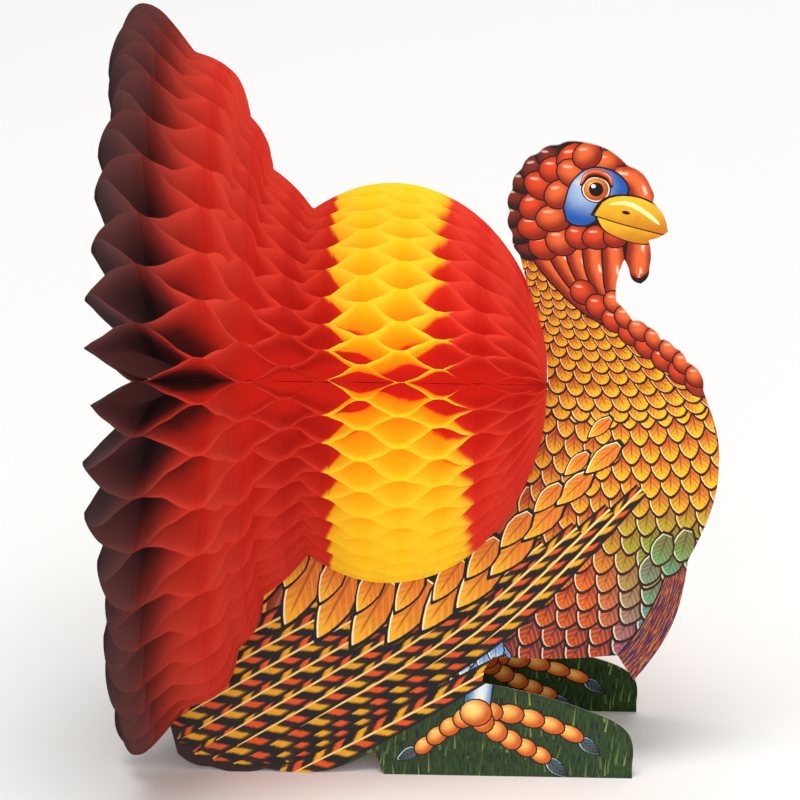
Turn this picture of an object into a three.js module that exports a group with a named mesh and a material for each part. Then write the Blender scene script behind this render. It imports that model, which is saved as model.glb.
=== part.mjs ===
// A table centrepiece in the shape of a turkey: a fan of honeycomb tissue paper that opens all the way
// round between two printed boards, which stand splayed like an easel and carry the head between them.
// Millimetres, +Z up, +X towards the head. The near side faces -Y, and the far side is its mirror image.
import * as THREE from "three";

// Stance
const SPLAY = 15; // degrees that each side board leans out from upright
const TAIL_CLEARANCE = 6; // table to the lowest edge of the tissue

// Boards
const BOARD_THICKNESS = 0.6;
const GLUE_GAP = 0.3; // between pieces that are glued face to face
const CREASE_GAP = 0.3; // from the tissue axis up to the head boards, and from the tissue to the neck
const BACKING_INSET = 2.5; // the side board ends this far inside the rim of the tissue glued to it
const EDGE_STEP = 4; // longest chord along a cut edge

// Tissue. Lengths run along the axis, radii square to it.
const TISSUE_THICKNESS = 0.3; // at the tail's rim, thinning towards the axis
const SPINE_RADIUS = 1.5; // the binding that gathers every sheet
const PAIRS_PER_SIDE = 18; // each pair of sheets is glued into a row of cells
const TAIL_RADIUS = 150.6; // axis to the tip of the tail
const TAIL_LENGTH = 79.5; // rear edge to the waist
const BODY_RADIUS = 80;
const BODY_LENGTH = 126; // full length of the ellipse that the body is cut to
const WAIST_TO_POLE = 95; // the tail meets the body here
const POLE_FLAT = 1; // the cut stops short of the ellipse's end
const GLUE_WIDTH = 3; // width of one line of glue
const TAIL_CELL = 22; // spacing of the glue lines in the tail
const TAIL_CELLS = 2;
const BODY_CELL = 15; // spacing of the other glue lines

// The tail's scalloped cut: length from the rear edge, drop from the tip's radius, bow and lean of each lobe.
const TAIL_REAR_DROP = 20.6;
const TAIL_REAR_EDGE = 10; // height of the rear edge, below which the sheet is cut back towards the axis
const TAIL_HOLLOW = 28; // the cut reaches the axis this far in front of the rear edge
const TAIL_TIP_AT = 10.5; // rear edge to the tip
const TAIL_LOBES = [
  { at: 31, drop: 19.2, bow: 20, lean: 0.7 },
  { at: 52.5, drop: 43.5, bow: 6.7, lean: 1 },
  { at: 61.5, drop: 64.5, bow: 3, lean: 1 },
];
const WAIST_BOW = 1.5;

// Cut edges of the boards, clockwise: each stretch runs to (x, y) and bows out by its third number.
// x is measured from the front pole of the tissue, and y from the axis or, below the legs, from the table.
const NECK_REAR_HEIGHT = 32; // the neck follows the tissue up to here
const NECK_LENGTH = 62; // pole to the front of the neck, along the crease
const HEAD_EDGE = [
  // back of the neck and the lumps of skin behind the skull
  [-11.5, 54, 0.4],
  [-14.5, 63, 1.2],
  [-15.6, 72, 1.4],
  [-14.6, 81, 1.4],
  [-11, 89.5, 1.4],
  [-4.5, 96, 1.4],
  [3.5, 99.6, 1.2],
  // crown, brow and the root of the snood
  [12, 101, 0.8],
  [31, 91.5, 2.2],
  [40.5, 82, 1.8],
  [41, 76.5, 0.8],
  // beak
  [47.2, 64.5, 1.4],
  [39.5, 61, 0.6],
  // hanging snood
  [40, 49.5, 0.8],
  [36.7, 43, 1.2],
  [32.4, 46.5, 1],
  [30, 53, -0.4],
  // throat and wattles
  [26.8, 35.5, -1.2],
  [33.5, 27.5, 0.4],
  [39.5, 25.2, 1],
  [44.5, 20, 1],
  [50, 16.8, 1],
  [55.2, 10.8, 1],
];
const WATTLE_END_HEIGHT = 2.5;
const WATTLE_END_BOW = 1.4;
const BREAST_EDGE = [
  [57, -69, 9],
  // beard
  [36, -117.5, 4.7],
  [29.3, -107.5, 0],
  // underside
  [-20.5, -109, 1],
];
const FOOT_EDGE = [
  // front of the leg and the grassy top of the foot
  [-24.7, 37.3, -1],
  [24.7, 24.4, 1.4],
  [35.8, 5, 5],
  // the edge that stands on the table
  [35.8, 0, 0],
  [-63.7, 0, 0],
  [-67.3, 9.4, 0],
];
const WING_EDGE = [
  [-111, 1.4, 4.7],
  [-133, 1.8, 1.9],
  [-146.5, 6.9, 1.6],
];
const WING_MEETS_TAIL = -150;

const splay = THREE.MathUtils.degToRad(SPLAY);
const fanAngle = Math.PI - splay; // from straight up to a side board
const axisHeight = TAIL_RADIUS * Math.cos(splay) + TAIL_CLEARANCE;
const rearX = -WAIST_TO_POLE - TAIL_LENGTH;
const hollowX = rearX + TAIL_HOLLOW;
const rearLow = TAIL_RADIUS - TAIL_REAR_DROP - TAIL_REAR_EDGE;
const frontX = -POLE_FLAT;
const halfGap = GLUE_GAP / 2;
const sheetInner = SPINE_RADIUS + GLUE_GAP;
const sheetAngle = TISSUE_THICKNESS / TAIL_RADIUS; // angle that a sheet's thickness fills
const gapAngle = GLUE_GAP / TAIL_RADIUS;
const pairPitch = fanAngle / PAIRS_PER_SIDE;

// Heights in the plane of a side board, whose outer face is at -halfGap: the table, and the plane between the halves.
const tableAt = (offset) => -(axisHeight + offset * Math.sin(splay)) / Math.cos(splay);
const middleAt = (offset) => (offset * Math.cos(splay) - halfGap) / Math.sin(splay);

const printedBoard = new THREE.MeshStandardMaterial({ color: 0xd98a26, roughness: 0.45, metalness: 0 });
const tissuePaper = new THREE.MeshStandardMaterial({ color: 0xd5331f, roughness: 0.95, metalness: 0 });
const bindingPaper = new THREE.MeshStandardMaterial({ color: 0x8a1f18, roughness: 0.9, metalness: 0 });

// Points after a on a stretch from a to b that bows out to its left; a lean under 1 brings the crest nearer a.
function bowed(a, b, bow, lean = 1) {
  const chord = b.clone().sub(a);
  const left = new THREE.Vector2(-chord.y, chord.x).normalize();
  const steps = bow === 0 ? 1 : Math.max(3, Math.ceil(chord.length() / EDGE_STEP));
  return Array.from({ length: steps }, (_, i) => {
    const t = (i + 1) / steps;
    const rise = bow * Math.sin(Math.PI * t ** lean);
    return a.clone().addScaledVector(chord, t).addScaledVector(left, rise);
  });
}

// Runs stretches [x, y, bow] on from the last of the points, with y measured from a base line.
function trace(points, stretches, base = 0) {
  for (const [x, y, bow] of stretches) {
    points.push(...bowed(points.at(-1), new THREE.Vector2(x, y + base), bow));
  }
  return points;
}

function bodyRadius(x) {
  const half = BODY_LENGTH / 2;
  const offset = (x + half) / half;
  return BODY_RADIUS * Math.sqrt(Math.max(0, 1 - offset * offset));
}

// The edge that one sheet of tissue is cut to, from the rear of the tail to the waist: x and radius.
function tailCut() {
  const points = [new THREE.Vector2(rearX, TAIL_RADIUS - TAIL_REAR_DROP)];
  for (const { at, drop, bow, lean } of TAIL_LOBES) {
    points.push(...bowed(points.at(-1), new THREE.Vector2(rearX + at, TAIL_RADIUS - drop), bow, lean));
  }
  const waist = new THREE.Vector2(-WAIST_TO_POLE, bodyRadius(-WAIST_TO_POLE));
  return points.concat(bowed(points.at(-1), waist, WAIST_BOW));
}

const tailEdge = tailCut();

function tissueRadius(x) {
  if (x >= -WAIST_TO_POLE) {
    return bodyRadius(x);
  }
  const i = Math.max(1, tailEdge.findIndex((point) => point.x >= x));
  const [a, b] = [tailEdge[i - 1], tailEdge[i]];
  return THREE.MathUtils.mapLinear(x, a.x, b.x, a.y, b.y);
}

// Inner edge of a sheet: a straight cut that hollows the rear of the fan, then the binding.
function innerRadius(x) {
  return Math.max(sheetInner, THREE.MathUtils.mapLinear(x, rearX, hollowX, rearLow, sheetInner));
}

// Glue lines along the axis. The lines join the two sheets of a pair, and one pair to the next, in turn.
function glueLines() {
  const lines = [];
  let x = rearX;
  while (x < frontX - GLUE_WIDTH) {
    lines.push({ x, inPair: lines.length % 2 === 0 });
    x += lines.length <= TAIL_CELLS ? TAIL_CELL : BODY_CELL;
  }
  lines.push({ x, inPair: lines.length % 2 === 0 });
  return lines;
}

// Stations along a pair: x, and how far its sheets stand apart there, from 0 in the glue to 1 between lines.
function stations() {
  const folds = glueLines().flatMap(({ x, inPair }) =>
    inPair
      ? [-1, 1].map((end) => ({ x: x + (end * GLUE_WIDTH) / 2, open: 0 }))
      : [{ x, open: 1 }],
  );
  const openAt = (x) => {
    const i = Math.max(1, folds.findIndex((fold) => fold.x >= x));
    return THREE.MathUtils.mapLinear(x, folds[i - 1].x, folds[i].x, folds[i - 1].open, folds[i].open);
  };
  const lobeEnds = TAIL_LOBES.map(({ at }) => rearX + at);
  const crests = [rearX + TAIL_TIP_AT, (lobeEnds[0] + 3 * lobeEnds[1]) / 4];
  const shape = [...crests, ...lobeEnds, hollowX, -WAIST_TO_POLE, frontX - BODY_CELL / 3, frontX]
    .filter((x) => folds.every((fold) => Math.abs(fold.x - x) > GLUE_WIDTH / 4))
    .map((x) => ({ x, open: openAt(x) }));
  return folds
    .map(({ x, open }) => ({ x: Math.max(x, rearX), open }))
    .concat(shape)
    .filter(({ x }) => x <= frontX)
    .sort((a, b) => a.x - b.x);
}

// One pair of sheets, upright, as a row of diamond cells: each sheet is a thin wedge that thins to its inner edge.
function pairGeometry() {
  const positions = [];
  const triangles = [];
  const swing = pairPitch / 2 - gapAngle / 2 - sheetAngle;
  const point = (x, r, angle) => positions.push(x, -r * Math.sin(angle), r * Math.cos(angle)) / 3 - 1;
  const quad = (a, b, c, d) => triangles.push(a, b, c, a, c, d);

  const columns = stations().map(({ x, open }) => {
    const r = tissueRadius(x);
    if (open === 0) {
      const inner = point(x, innerRadius(x), 0);
      const [low, middle, up] = [-1, 0, 1].map((side) => point(x, r, side * sheetAngle));
      return { glued: true, sheets: [[inner, low, middle], [inner, middle, up]] };
    }
    const sheets = [-1, 1].map((side) => {
      const angle = side * (sheetAngle / 2 + open * swing);
      const inner = point(x, innerRadius(x), angle);
      const [low, up] = [-0.5, 0.5].map((half) => point(x, r, angle + half * sheetAngle));
      return [inner, low, up];
    });
    return { glued: false, sheets };
  });

  for (let i = 1; i < columns.length; i += 1) {
    const [back, front] = [columns[i - 1], columns[i]];
    const solid = back.glued && front.glued;
    for (const side of [0, 1]) {
      const [inner0, low0, up0] = back.sheets[side];
      const [inner1, low1, up1] = front.sheets[side];
      quad(low0, up0, up1, low1);
      if (!solid || side === 0) {
        quad(inner0, low0, low1, inner1);
      }
      if (!solid || side === 1) {
        quad(inner0, inner1, up1, up0);
      }
    }
  }
  for (const [inner, low, up] of columns[0].sheets) {
    triangles.push(inner, up, low);
  }
  for (const [inner, low, up] of columns.at(-1).sheets) {
    triangles.push(inner, low, up);
  }

  const geometry = new THREE.BufferGeometry();
  geometry.setAttribute("position", new THREE.Float32BufferAttribute(positions, 3));
  geometry.setIndex(triangles);
  geometry.computeVertexNormals();
  return geometry;
}

// Head, neck and wattles, from the crease up. The back of the neck keeps clear of the tissue.
function headOutline() {
  const points = [new THREE.Vector2(0, CREASE_GAP)];
  const rise = NECK_REAR_HEIGHT / BODY_RADIUS;
  for (let t = 0.4; t <= 1; t += 0.2) {
    const height = rise * t;
    const edge = (-BODY_LENGTH / 2) * (1 - Math.sqrt(1 - height * height));
    points.push(new THREE.Vector2(edge + CREASE_GAP, height * BODY_RADIUS));
  }
  trace(points, HEAD_EDGE);
  trace(points, [[NECK_LENGTH, WATTLE_END_HEIGHT, WATTLE_END_BOW], [NECK_LENGTH, CREASE_GAP, 0]]);
  return points;
}

// Breast, leg, foot and wing, and the backing behind the tissue up to the axis.
function sideOutline() {
  const table = tableAt(-halfGap);
  const creaseTop = middleAt(-halfGap);
  const spineTop = Math.min(creaseTop, -sheetInner - halfGap);
  const points = [new THREE.Vector2(NECK_LENGTH, creaseTop)];
  trace(points, BREAST_EDGE);
  trace(points, FOOT_EDGE, table);
  trace(points, WING_EDGE, table);
  points.push(new THREE.Vector2(WING_MEETS_TAIL, BACKING_INSET - tissueRadius(WING_MEETS_TAIL)));
  const behindTail = tailEdge.filter(({ x }) => x < WING_MEETS_TAIL && x > rearX + BACKING_INSET).reverse();
  points.push(...behindTail.map(({ x, y }) => new THREE.Vector2(x, BACKING_INSET - y)));
  points.push(new THREE.Vector2(rearX + BACKING_INSET, TAIL_REAR_DROP - TAIL_RADIUS));
  points.push(new THREE.Vector2(rearX + BACKING_INSET, -rearLow));
  points.push(new THREE.Vector2(hollowX + BACKING_INSET, spineTop));
  points.push(new THREE.Vector2(0, spineTop));
  points.push(new THREE.Vector2(0, creaseTop));
  return points;
}

function boardGeometry(outline, innerFace) {
  const shape = new THREE.Shape(outline);
  const geometry = new THREE.ExtrudeGeometry(shape, { depth: BOARD_THICKNESS, bevelEnabled: false });
  return geometry.translate(0, 0, innerFace);
}

// Trims a splayed side board: its lower edges stand flat on the table, and its top edge stays on its own side.
function trimmed(geometry) {
  const position = geometry.getAttribute("position");
  for (let i = 0; i < position.count; i += 1) {
    const offset = position.getZ(i);
    position.setY(i, THREE.MathUtils.clamp(position.getY(i), tableAt(offset), middleAt(offset)));
  }
  return geometry;
}

function piece(name, geometry, material, turn) {
  const mesh = new THREE.Mesh(geometry, material);
  mesh.name = name;
  mesh.rotation.x = turn;
  return mesh;
}

const headBoard = boardGeometry(headOutline(), halfGap);
const sideBoard = trimmed(boardGeometry(sideOutline(), -halfGap - BOARD_THICKNESS));
const tissuePair = pairGeometry();

// One half of the figure about the tissue axis, as seen from -Y.
function half(side) {
  const group = new THREE.Group();
  group.position.z = axisHeight;
  group.add(piece(`head_board_${side}`, headBoard, printedBoard, Math.PI / 2));
  group.add(piece(`side_board_${side}`, sideBoard, printedBoard, Math.PI / 2 - splay));
  for (let i = 0; i < PAIRS_PER_SIDE; i += 1) {
    const name = `tissue_${side}_${String(i + 1).padStart(2, "0")}`;
    group.add(piece(name, tissuePair, tissuePaper, (i + 0.5) * pairPitch));
  }
  return group;
}

// The binding runs along the axis from the foot of the hollow and butts against the head boards at the pole.
function spine() {
  const length = -hollowX - GLUE_GAP;
  const geometry = new THREE.CylinderGeometry(SPINE_RADIUS, SPINE_RADIUS, length, 12);
  const mesh = new THREE.Mesh(geometry.rotateZ(Math.PI / 2), bindingPaper);
  mesh.name = "tissue_spine";
  mesh.position.set(hollowX + length / 2, 0, axisHeight);
  return mesh;
}

const near = half("near");
const far = half("far");
far.scale.y = -1;
const figure = new THREE.Group();
figure.add(near, far, spine());

// The origin is on the table, under the middle of the figure.
const extent = new THREE.Box3().setFromObject(figure);
figure.position.x = -(extent.min.x + extent.max.x) / 2;
const turkey = new THREE.Group();
turkey.name = "turkey_centrepiece";
turkey.add(figure);

export default turkey;
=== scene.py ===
"""Looks of a table centrepiece in the shape of a turkey.

A fan of honeycomb tissue paper opens all the way round between two printed boards, which stand splayed
and carry the printed head between them. Lengths are in millimetres until a mesh is made, and the frame's
own unit is the metre. Printed shapes lie in the plane of an unfolded board: x from the tissue's front pole,
y up from the tissue's axis.
"""

import logging
import math
from dataclasses import dataclass, field
from enum import Enum
from functools import lru_cache
from typing import Any, Callable, Iterator, Sequence, Union

import bpy
import numpy as np
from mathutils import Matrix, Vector
from mathutils.geometry import delaunay_2d_cdt


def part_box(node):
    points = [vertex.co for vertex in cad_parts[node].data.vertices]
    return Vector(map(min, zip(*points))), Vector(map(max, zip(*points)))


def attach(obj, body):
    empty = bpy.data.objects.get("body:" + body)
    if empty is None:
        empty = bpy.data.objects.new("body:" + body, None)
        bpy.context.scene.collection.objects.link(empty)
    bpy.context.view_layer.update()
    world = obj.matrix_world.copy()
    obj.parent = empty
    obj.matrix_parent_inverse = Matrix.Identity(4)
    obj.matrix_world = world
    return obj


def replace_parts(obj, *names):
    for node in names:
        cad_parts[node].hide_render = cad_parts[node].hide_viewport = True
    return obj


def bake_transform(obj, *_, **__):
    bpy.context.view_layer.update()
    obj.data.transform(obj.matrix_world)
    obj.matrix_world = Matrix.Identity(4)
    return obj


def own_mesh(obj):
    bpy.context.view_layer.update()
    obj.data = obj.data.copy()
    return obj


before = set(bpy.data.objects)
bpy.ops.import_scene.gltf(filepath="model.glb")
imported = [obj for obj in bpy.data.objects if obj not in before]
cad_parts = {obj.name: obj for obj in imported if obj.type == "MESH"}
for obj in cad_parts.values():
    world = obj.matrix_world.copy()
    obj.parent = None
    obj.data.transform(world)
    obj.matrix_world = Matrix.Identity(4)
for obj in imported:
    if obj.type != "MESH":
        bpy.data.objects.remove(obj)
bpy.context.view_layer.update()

LOG = logging.getLogger("turkey")
MM = 0.001
DECIMETRE = 100.0
SPINE_SETBACK = 0.3
OUTWARD_COSINE = 0.5
FACE_COSINE = 0.99

Points = np.ndarray
Colour = tuple[float, float, float, float]
Bands = tuple[tuple[float, Colour], ...]
Span = tuple[float, float]
Places = tuple[Span, ...]
Sprigs = tuple[tuple[float, float, float], ...]
Taper = tuple[float, float, float, float]
Locate = Callable[[Points], Points]
Number = Union[float, "Wire"]


# Helpers


def paint(code: str) -> Colour:
    """Turns a written colour into the linear one that shaders and meshes hold.

    Args:
        code: six hexadecimal digits of red, green and blue.

    Returns:
        The linear colour, opaque.
    """
    parts = [int(code[i : i + 2], 16) / 255 for i in (0, 2, 4)]
    linear = [c / 12.92 if c <= 0.04045 else ((c + 0.055) / 1.055) ** 2.4 for c in parts]
    return (linear[0], linear[1], linear[2], 1.0)


def mixed(a: Colour, b: Colour, share: float) -> Colour:
    """Mixes two colours.

    Args:
        a: colour at share 0.
        b: colour at share 1.
        share: how much of b, held to 0 to 1.

    Returns:
        The mixed colour.
    """
    t = min(1.0, max(0.0, share))
    return tuple(p + (q - p) * t for p, q in zip(a, b))


def eased(low: float, high: float, value: float) -> float:
    """Eases from 0 at low to 1 at high."""
    t = min(1.0, max(0.0, (value - low) / (high - low)))
    return t * t * (3 - 2 * t)


def along_curve(points: Sequence[Sequence[float]], count: int, fineness: int = 12) -> Points:
    """Runs a smooth curve through points and spaces places evenly along it.

    Args:
        points: places that the curve passes, two or more.
        count: how many places to return, both ends among them.
        fineness: chords between two points while the curve is measured.

    Returns:
        The places, one row each.
    """
    p = np.array(points, float)
    p = np.vstack([2 * p[0] - p[1], p, 2 * p[-1] - p[-2]])
    at = np.linspace(0, len(p) - 3 - 1e-9, fineness * len(p))
    i = at.astype(int)
    t = (at - i)[:, None]
    a, b, c, d = p[i], p[i + 1], p[i + 2], p[i + 3]
    line = 0.5 * (2 * b + (c - a) * t + (2 * a - 5 * b + 4 * c - d) * t**2 + (3 * b - a - 3 * c + d) * t**3)
    run = run_along(line)
    even = np.linspace(0, run[-1], count)
    return np.stack([np.interp(even, run, line[:, k]) for k in range(line.shape[1])], 1)


def turned(degrees: float) -> Points:
    """Unit vector at an angle from +x, anticlockwise."""
    a = math.radians(degrees)
    return np.array([math.cos(a), math.sin(a)])


def across(direction: Points) -> Points:
    """Direction turned a quarter turn anticlockwise."""
    return np.array([-direction[1], direction[0]])


def heading(way: Points) -> float:
    """Degrees from +x to a direction, anticlockwise."""
    return math.degrees(math.atan2(way[1], way[0]))


def unit(way: Points) -> Points:
    """A vector's direction, with a length of 1."""
    return way / np.linalg.norm(way)


def run_along(path: Points) -> Points:
    """Distance from a path's start to each of its places."""
    return np.r_[0, np.cumsum(np.linalg.norm(np.diff(path, axis=0), axis=1))]


# Shader graphs


class Wire:
    """A node's output that takes part in Python expressions; each operator adds a Math node."""

    def __init__(self, graph: "Graph", socket: bpy.types.NodeSocket) -> None:
        """Wraps a socket of a graph."""
        self.graph = graph
        self.socket = socket

    def __add__(self, other: Number) -> "Wire":
        """Adds."""
        return self.graph.math("ADD", self, other)

    __radd__ = __add__

    def __sub__(self, other: Number) -> "Wire":
        """Takes other away."""
        return self.graph.math("SUBTRACT", self, other)

    def __rsub__(self, other: Number) -> "Wire":
        """Is taken away from other."""
        return self.graph.math("SUBTRACT", other, self)

    def __mul__(self, other: Number) -> "Wire":
        """Multiplies."""
        return self.graph.math("MULTIPLY", self, other)

    __rmul__ = __mul__

    def __pow__(self, other: Number) -> "Wire":
        """Raises to a power."""
        return self.graph.math("POWER", self, other)

    def __abs__(self) -> "Wire":
        """Drops the sign."""
        return self.graph.math("ABSOLUTE", self)

    def wave(self) -> "Wire":
        """A wave from 0 to 1 with one crest for each unit."""
        return self.graph.math("SINE", self * (2 * math.pi)) * 0.5 + 0.5

    def part(self) -> "Wire":
        """What is left over a whole number."""
        return self.graph.math("FRACT", self)

    def over(self, other: Number) -> "Wire":
        """1 where it is greater than other, else 0."""
        return self.graph.math("GREATER_THAN", self, other)

    def ease(self, low: float, high: float) -> "Wire":
        """Eases from 0 at low to 1 at high."""
        inputs = {"Value": self, "From Min": low, "From Max": high}
        return self.graph.node("ShaderNodeMapRange", {"interpolation_type": "SMOOTHSTEP"}, inputs)


class Graph:
    """The node tree of one material or of the world."""

    def __init__(self, tree: bpy.types.NodeTree) -> None:
        """Starts from an empty tree."""
        self.tree = tree
        tree.nodes.clear()

    def node(
        self,
        kind: str,
        settings: dict[str, Any] | None = None,
        inputs: dict[Any, Any] | None = None,
        output: Any = 0,
    ) -> Wire | None:
        """Adds a node.

        Args:
            kind: the node's type.
            settings: its own settings, set first; "stops" gives a ramp's places and colours.
            inputs: values or wires by socket name or number.
            output: the output to return.

        Returns:
            That output, or None from a node that has no outputs.
        """
        made = self.tree.nodes.new(kind)
        for name, value in (settings or {}).items():
            if name == "stops":
                self._set_stops(made.color_ramp, value)
            else:
                setattr(made, name, value)
        for key, value in (inputs or {}).items():
            if isinstance(value, Wire):
                self.tree.links.new(value.socket, made.inputs[key])
            else:
                made.inputs[key].default_value = value
        return Wire(self, made.outputs[output]) if len(made.outputs) else None

    @staticmethod
    def _set_stops(ramp: bpy.types.ColorRamp, stops: Sequence[tuple[float, Colour]]) -> None:
        """Gives a colour ramp its stops.

        Args:
            ramp: the ramp, with two stops or more to start with.
            stops: places from 0 to 1, rising, and their colours.
        """
        while len(ramp.elements) < len(stops):
            ramp.elements.new(1.0)
        for element, (place, colour) in zip(ramp.elements, stops):
            element.position = place
            element.color = colour

    def math(self, operation: str, *values: Number) -> Wire:
        """Adds a Math node on values."""
        return self.node("ShaderNodeMath", {"operation": operation}, dict(enumerate(values)))

    def mix(self, share: Number, a: Any, b: Any, way: str = "MIX") -> Wire:
        """Mixes colours a and b by share."""
        settings = {"data_type": "RGBA", "blend_type": way}
        return self.node("ShaderNodeMix", settings, {0: share, 6: a, 7: b}, 2)

    def ramp(self, value: Number, stops: Sequence[tuple[float, Colour]]) -> Wire:
        """Looks up a colour by value."""
        return self.node("ShaderNodeValToRGB", {"stops": stops}, {0: value})

    def map(self, name: str) -> tuple[Wire, Wire]:
        """The two coordinates of one of the mesh's maps."""
        place = self.node("ShaderNodeUVMap", {"uv_map": name})
        return tuple(self.node("ShaderNodeSeparateXYZ", {}, {0: place}, k) for k in (0, 1))

    def colour_of(self, name: str) -> Wire:
        """A colour that the mesh carries on its faces."""
        return self.node("ShaderNodeAttribute", {"attribute_name": name}, {}, "Color")

    def place(self) -> Wire:
        """Where a point is, in metres."""
        return self.node("ShaderNodeTexCoord", {}, {}, "Object")

    def vector(self, x: Number, y: Number, z: Number = 0.0) -> Wire:
        """Joins three values."""
        return self.node("ShaderNodeCombineXYZ", {}, {0: x, 1: y, 2: z})

    def noise(self, place: Wire, scale: float, detail: float = 3.0) -> Wire:
        """Soft noise from 0 to 1."""
        return self.node("ShaderNodeTexNoise", {}, {"Vector": place, "Scale": scale, "Detail": detail})

    def bump(self, height: Wire, strength: float, distance: float) -> Wire:
        """A normal that follows a height from 0 to 1, distance metres tall."""
        return self.node("ShaderNodeBump", {}, {"Strength": strength, "Distance": distance, "Height": height})

    def surface(self, shader: Wire) -> None:
        """Joins a shader to the surface."""
        self.node("ShaderNodeOutputMaterial", {}, {"Surface": shader})


def new_material(name: str) -> tuple[bpy.types.Material, Graph]:
    """Makes a material with an empty graph.

    Args:
        name: the material's name.

    Returns:
        The material and its graph.
    """
    material = bpy.data.materials.new(name)
    material.use_nodes = True
    return material, Graph(material.node_tree)


# Finishes


@dataclass(frozen=True)
class DyedTissue:
    """Crepe tissue dyed in bands along the fan, with painted shade deeper inside the cells and a painted glow.
    """

    rim_bands: Bands = (
        (0.06, paint("453436")),
        (0.17, paint("683634")),
        (0.3, paint("D84434")),
        (0.83, paint("D04234")),
    )
    # Painted shade: the dye bands as they darken deep inside the cells, where the cell walls shade them.
    shaded_core_bands: Bands = ((0.16, paint("2A1C1E")), (0.29, paint("562420")), (0.4, paint("D64232")))
    # Painted shade: yellow at the rim, deepening to orange and red inside the cells.
    yellow_shade_depths: Bands = (
        (0.03, paint("FFE636")),
        (0.2, paint("FFD62E")),
        (0.36, paint("FFB228")),
        (0.54, paint("F4742A")),
        (0.7, paint("E2482E")),
    )
    nose: Colour = paint("E64A3A")
    # Painted shade: the nose's red deep inside the cells.
    nose_shade: Colour = paint("DA4232")
    lit_maroon: Colour = paint("6E3A38")
    lit_red: Colour = paint("EE4E3C")
    lit_yellow: Colour = paint("FFE44A")
    slant: float = 0.12
    soak: float = 0.42
    front_soak: float = 1.5
    rear_border: Span = (0.88, 0.9)
    front_border: Span = (1.4, 1.44)
    nose_from: float = 1.1
    # Depths in from the rim over which the painted shade and the painted glow grow.
    maroon_end: Span = (0.2, 0.42)
    shade_glow_depth: Span = (0.06, 0.42)
    bleed_scale: float = 9.0
    bleed_along: float = 0.03
    # Noise on the border of the painted shade inside the cells.
    shade_edge_noise: float = 0.06
    crepe_grain: Span = (260.0, 46.0)
    crepe_detail: float = 4.0
    # Painted highlight on the crepe's raised grain: where it shows, its share and its pale tint.
    crepe_lit: Span = (0.35, 0.75)
    crepe_highlight_share: float = 0.16
    crepe_highlight: Colour = paint("FFE9D0")
    crepe_bump: Span = (0.35, 0.0006)
    unlit: Colour = paint("000000")
    roughness: float = 0.86
    specular: float = 0.18
    glow: float = 0.44
    # Painted glow: the paper gives off light in its own colour at this strength, a share of it at the rim and
    # all of it deep in the cells.
    painted_glow: float = 0.4
    rim_glow_share: float = 0.28

    def material(self) -> bpy.types.Material:
        """Builds the material from the sheet's map: decimetres from the rear edge and in from the rim.

        Returns:
            The material.
        """
        # The tissue's material holds its dye, its painted shade and its painted glow.
        material, g = new_material("dyed_tissue_painted_shade_glow")
        along, depth = g.map("sheet")
        # One noise makes the dye's borders bleed and the painted shade's border ragged.
        bleed_and_shade_noise = g.noise(g.vector(along, depth), self.bleed_scale) - 0.5
        station = along + bleed_and_shade_noise * self.bleed_along
        slanted = station - depth * self.slant
        # Painted shade: the dye bands darken towards the depth of the cells; the same share drives the painted
        # glow.
        inward = (depth + bleed_and_shade_noise * self.shade_edge_noise).ease(*self.shade_glow_depth)
        tail = g.mix(inward, g.ramp(slanted, self.rim_bands), g.ramp(slanted, self.shaded_core_bands))
        # Painted shade: the nose's red darkens towards the depth of the cells.
        nose = g.mix(inward, self.nose, self.nose_shade)
        soak = depth * self.soak
        past_rear = (station - soak).ease(*self.rear_border)
        past_front = (station + soak * self.front_soak).ease(*self.front_border)
        band = past_rear * (1.0 - past_front)
        colour = g.mix(station.over(self.nose_from), tail, nose)
        # Painted shade: the yellow band turns orange and then red towards the depth of the cells.
        colour = g.mix(band, colour, g.ramp(depth, self.yellow_shade_depths))
        grain_along, grain_inward = self.crepe_grain
        crepe = g.noise(g.vector(along * grain_along, depth * grain_inward), 1.0, self.crepe_detail)
        # Painted highlight: a pale soft-light tint where the crepe's grain stands up; the same noise gives the
        # real bump.
        colour = g.mix(crepe.ease(*self.crepe_lit) * self.crepe_highlight_share, colour, self.crepe_highlight, "SOFT_LIGHT")
        # Painted glow: emission in the paper's own colour, a share of it at the rim and all of it deep in the
        # cells.
        glow_share = inward * (1.0 - self.rim_glow_share) + self.rim_glow_share
        inputs = {
            "Base Color": colour,
            "Roughness": self.roughness,
            "Specular IOR Level": self.specular,
            "Emission Color": g.mix(glow_share, self.unlit, colour),
            "Emission Strength": self.painted_glow,
            "Normal": g.bump(crepe, *self.crepe_bump),
        }
        paper = g.node("ShaderNodeBsdfPrincipled", {}, inputs)
        dyes = (self.lit_maroon, self.lit_red, self.lit_yellow)
        lit = [g.node("ShaderNodeBsdfTranslucent", {}, {"Color": c}) for c in dyes]
        reddened = slanted.ease(*self.maroon_end)
        through = g.node("ShaderNodeMixShader", {}, {0: reddened, 1: lit[0], 2: lit[1]})
        through = g.node("ShaderNodeMixShader", {}, {0: band, 1: through, 2: lit[2]})
        g.surface(g.node("ShaderNodeMixShader", {}, {0: self.glow, 1: paper, 2: through}))
        return material


class Ink(Enum):
    """Ways that a printed shape is coloured, in the order of a board's material slots."""

    CORE = 0
    WASH = 1
    LINE = 2
    VANE = 3
    LUMP = 4
    FOLD = 5
    BARRED = 6
    STREAK = 7
    TURF = 8


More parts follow.
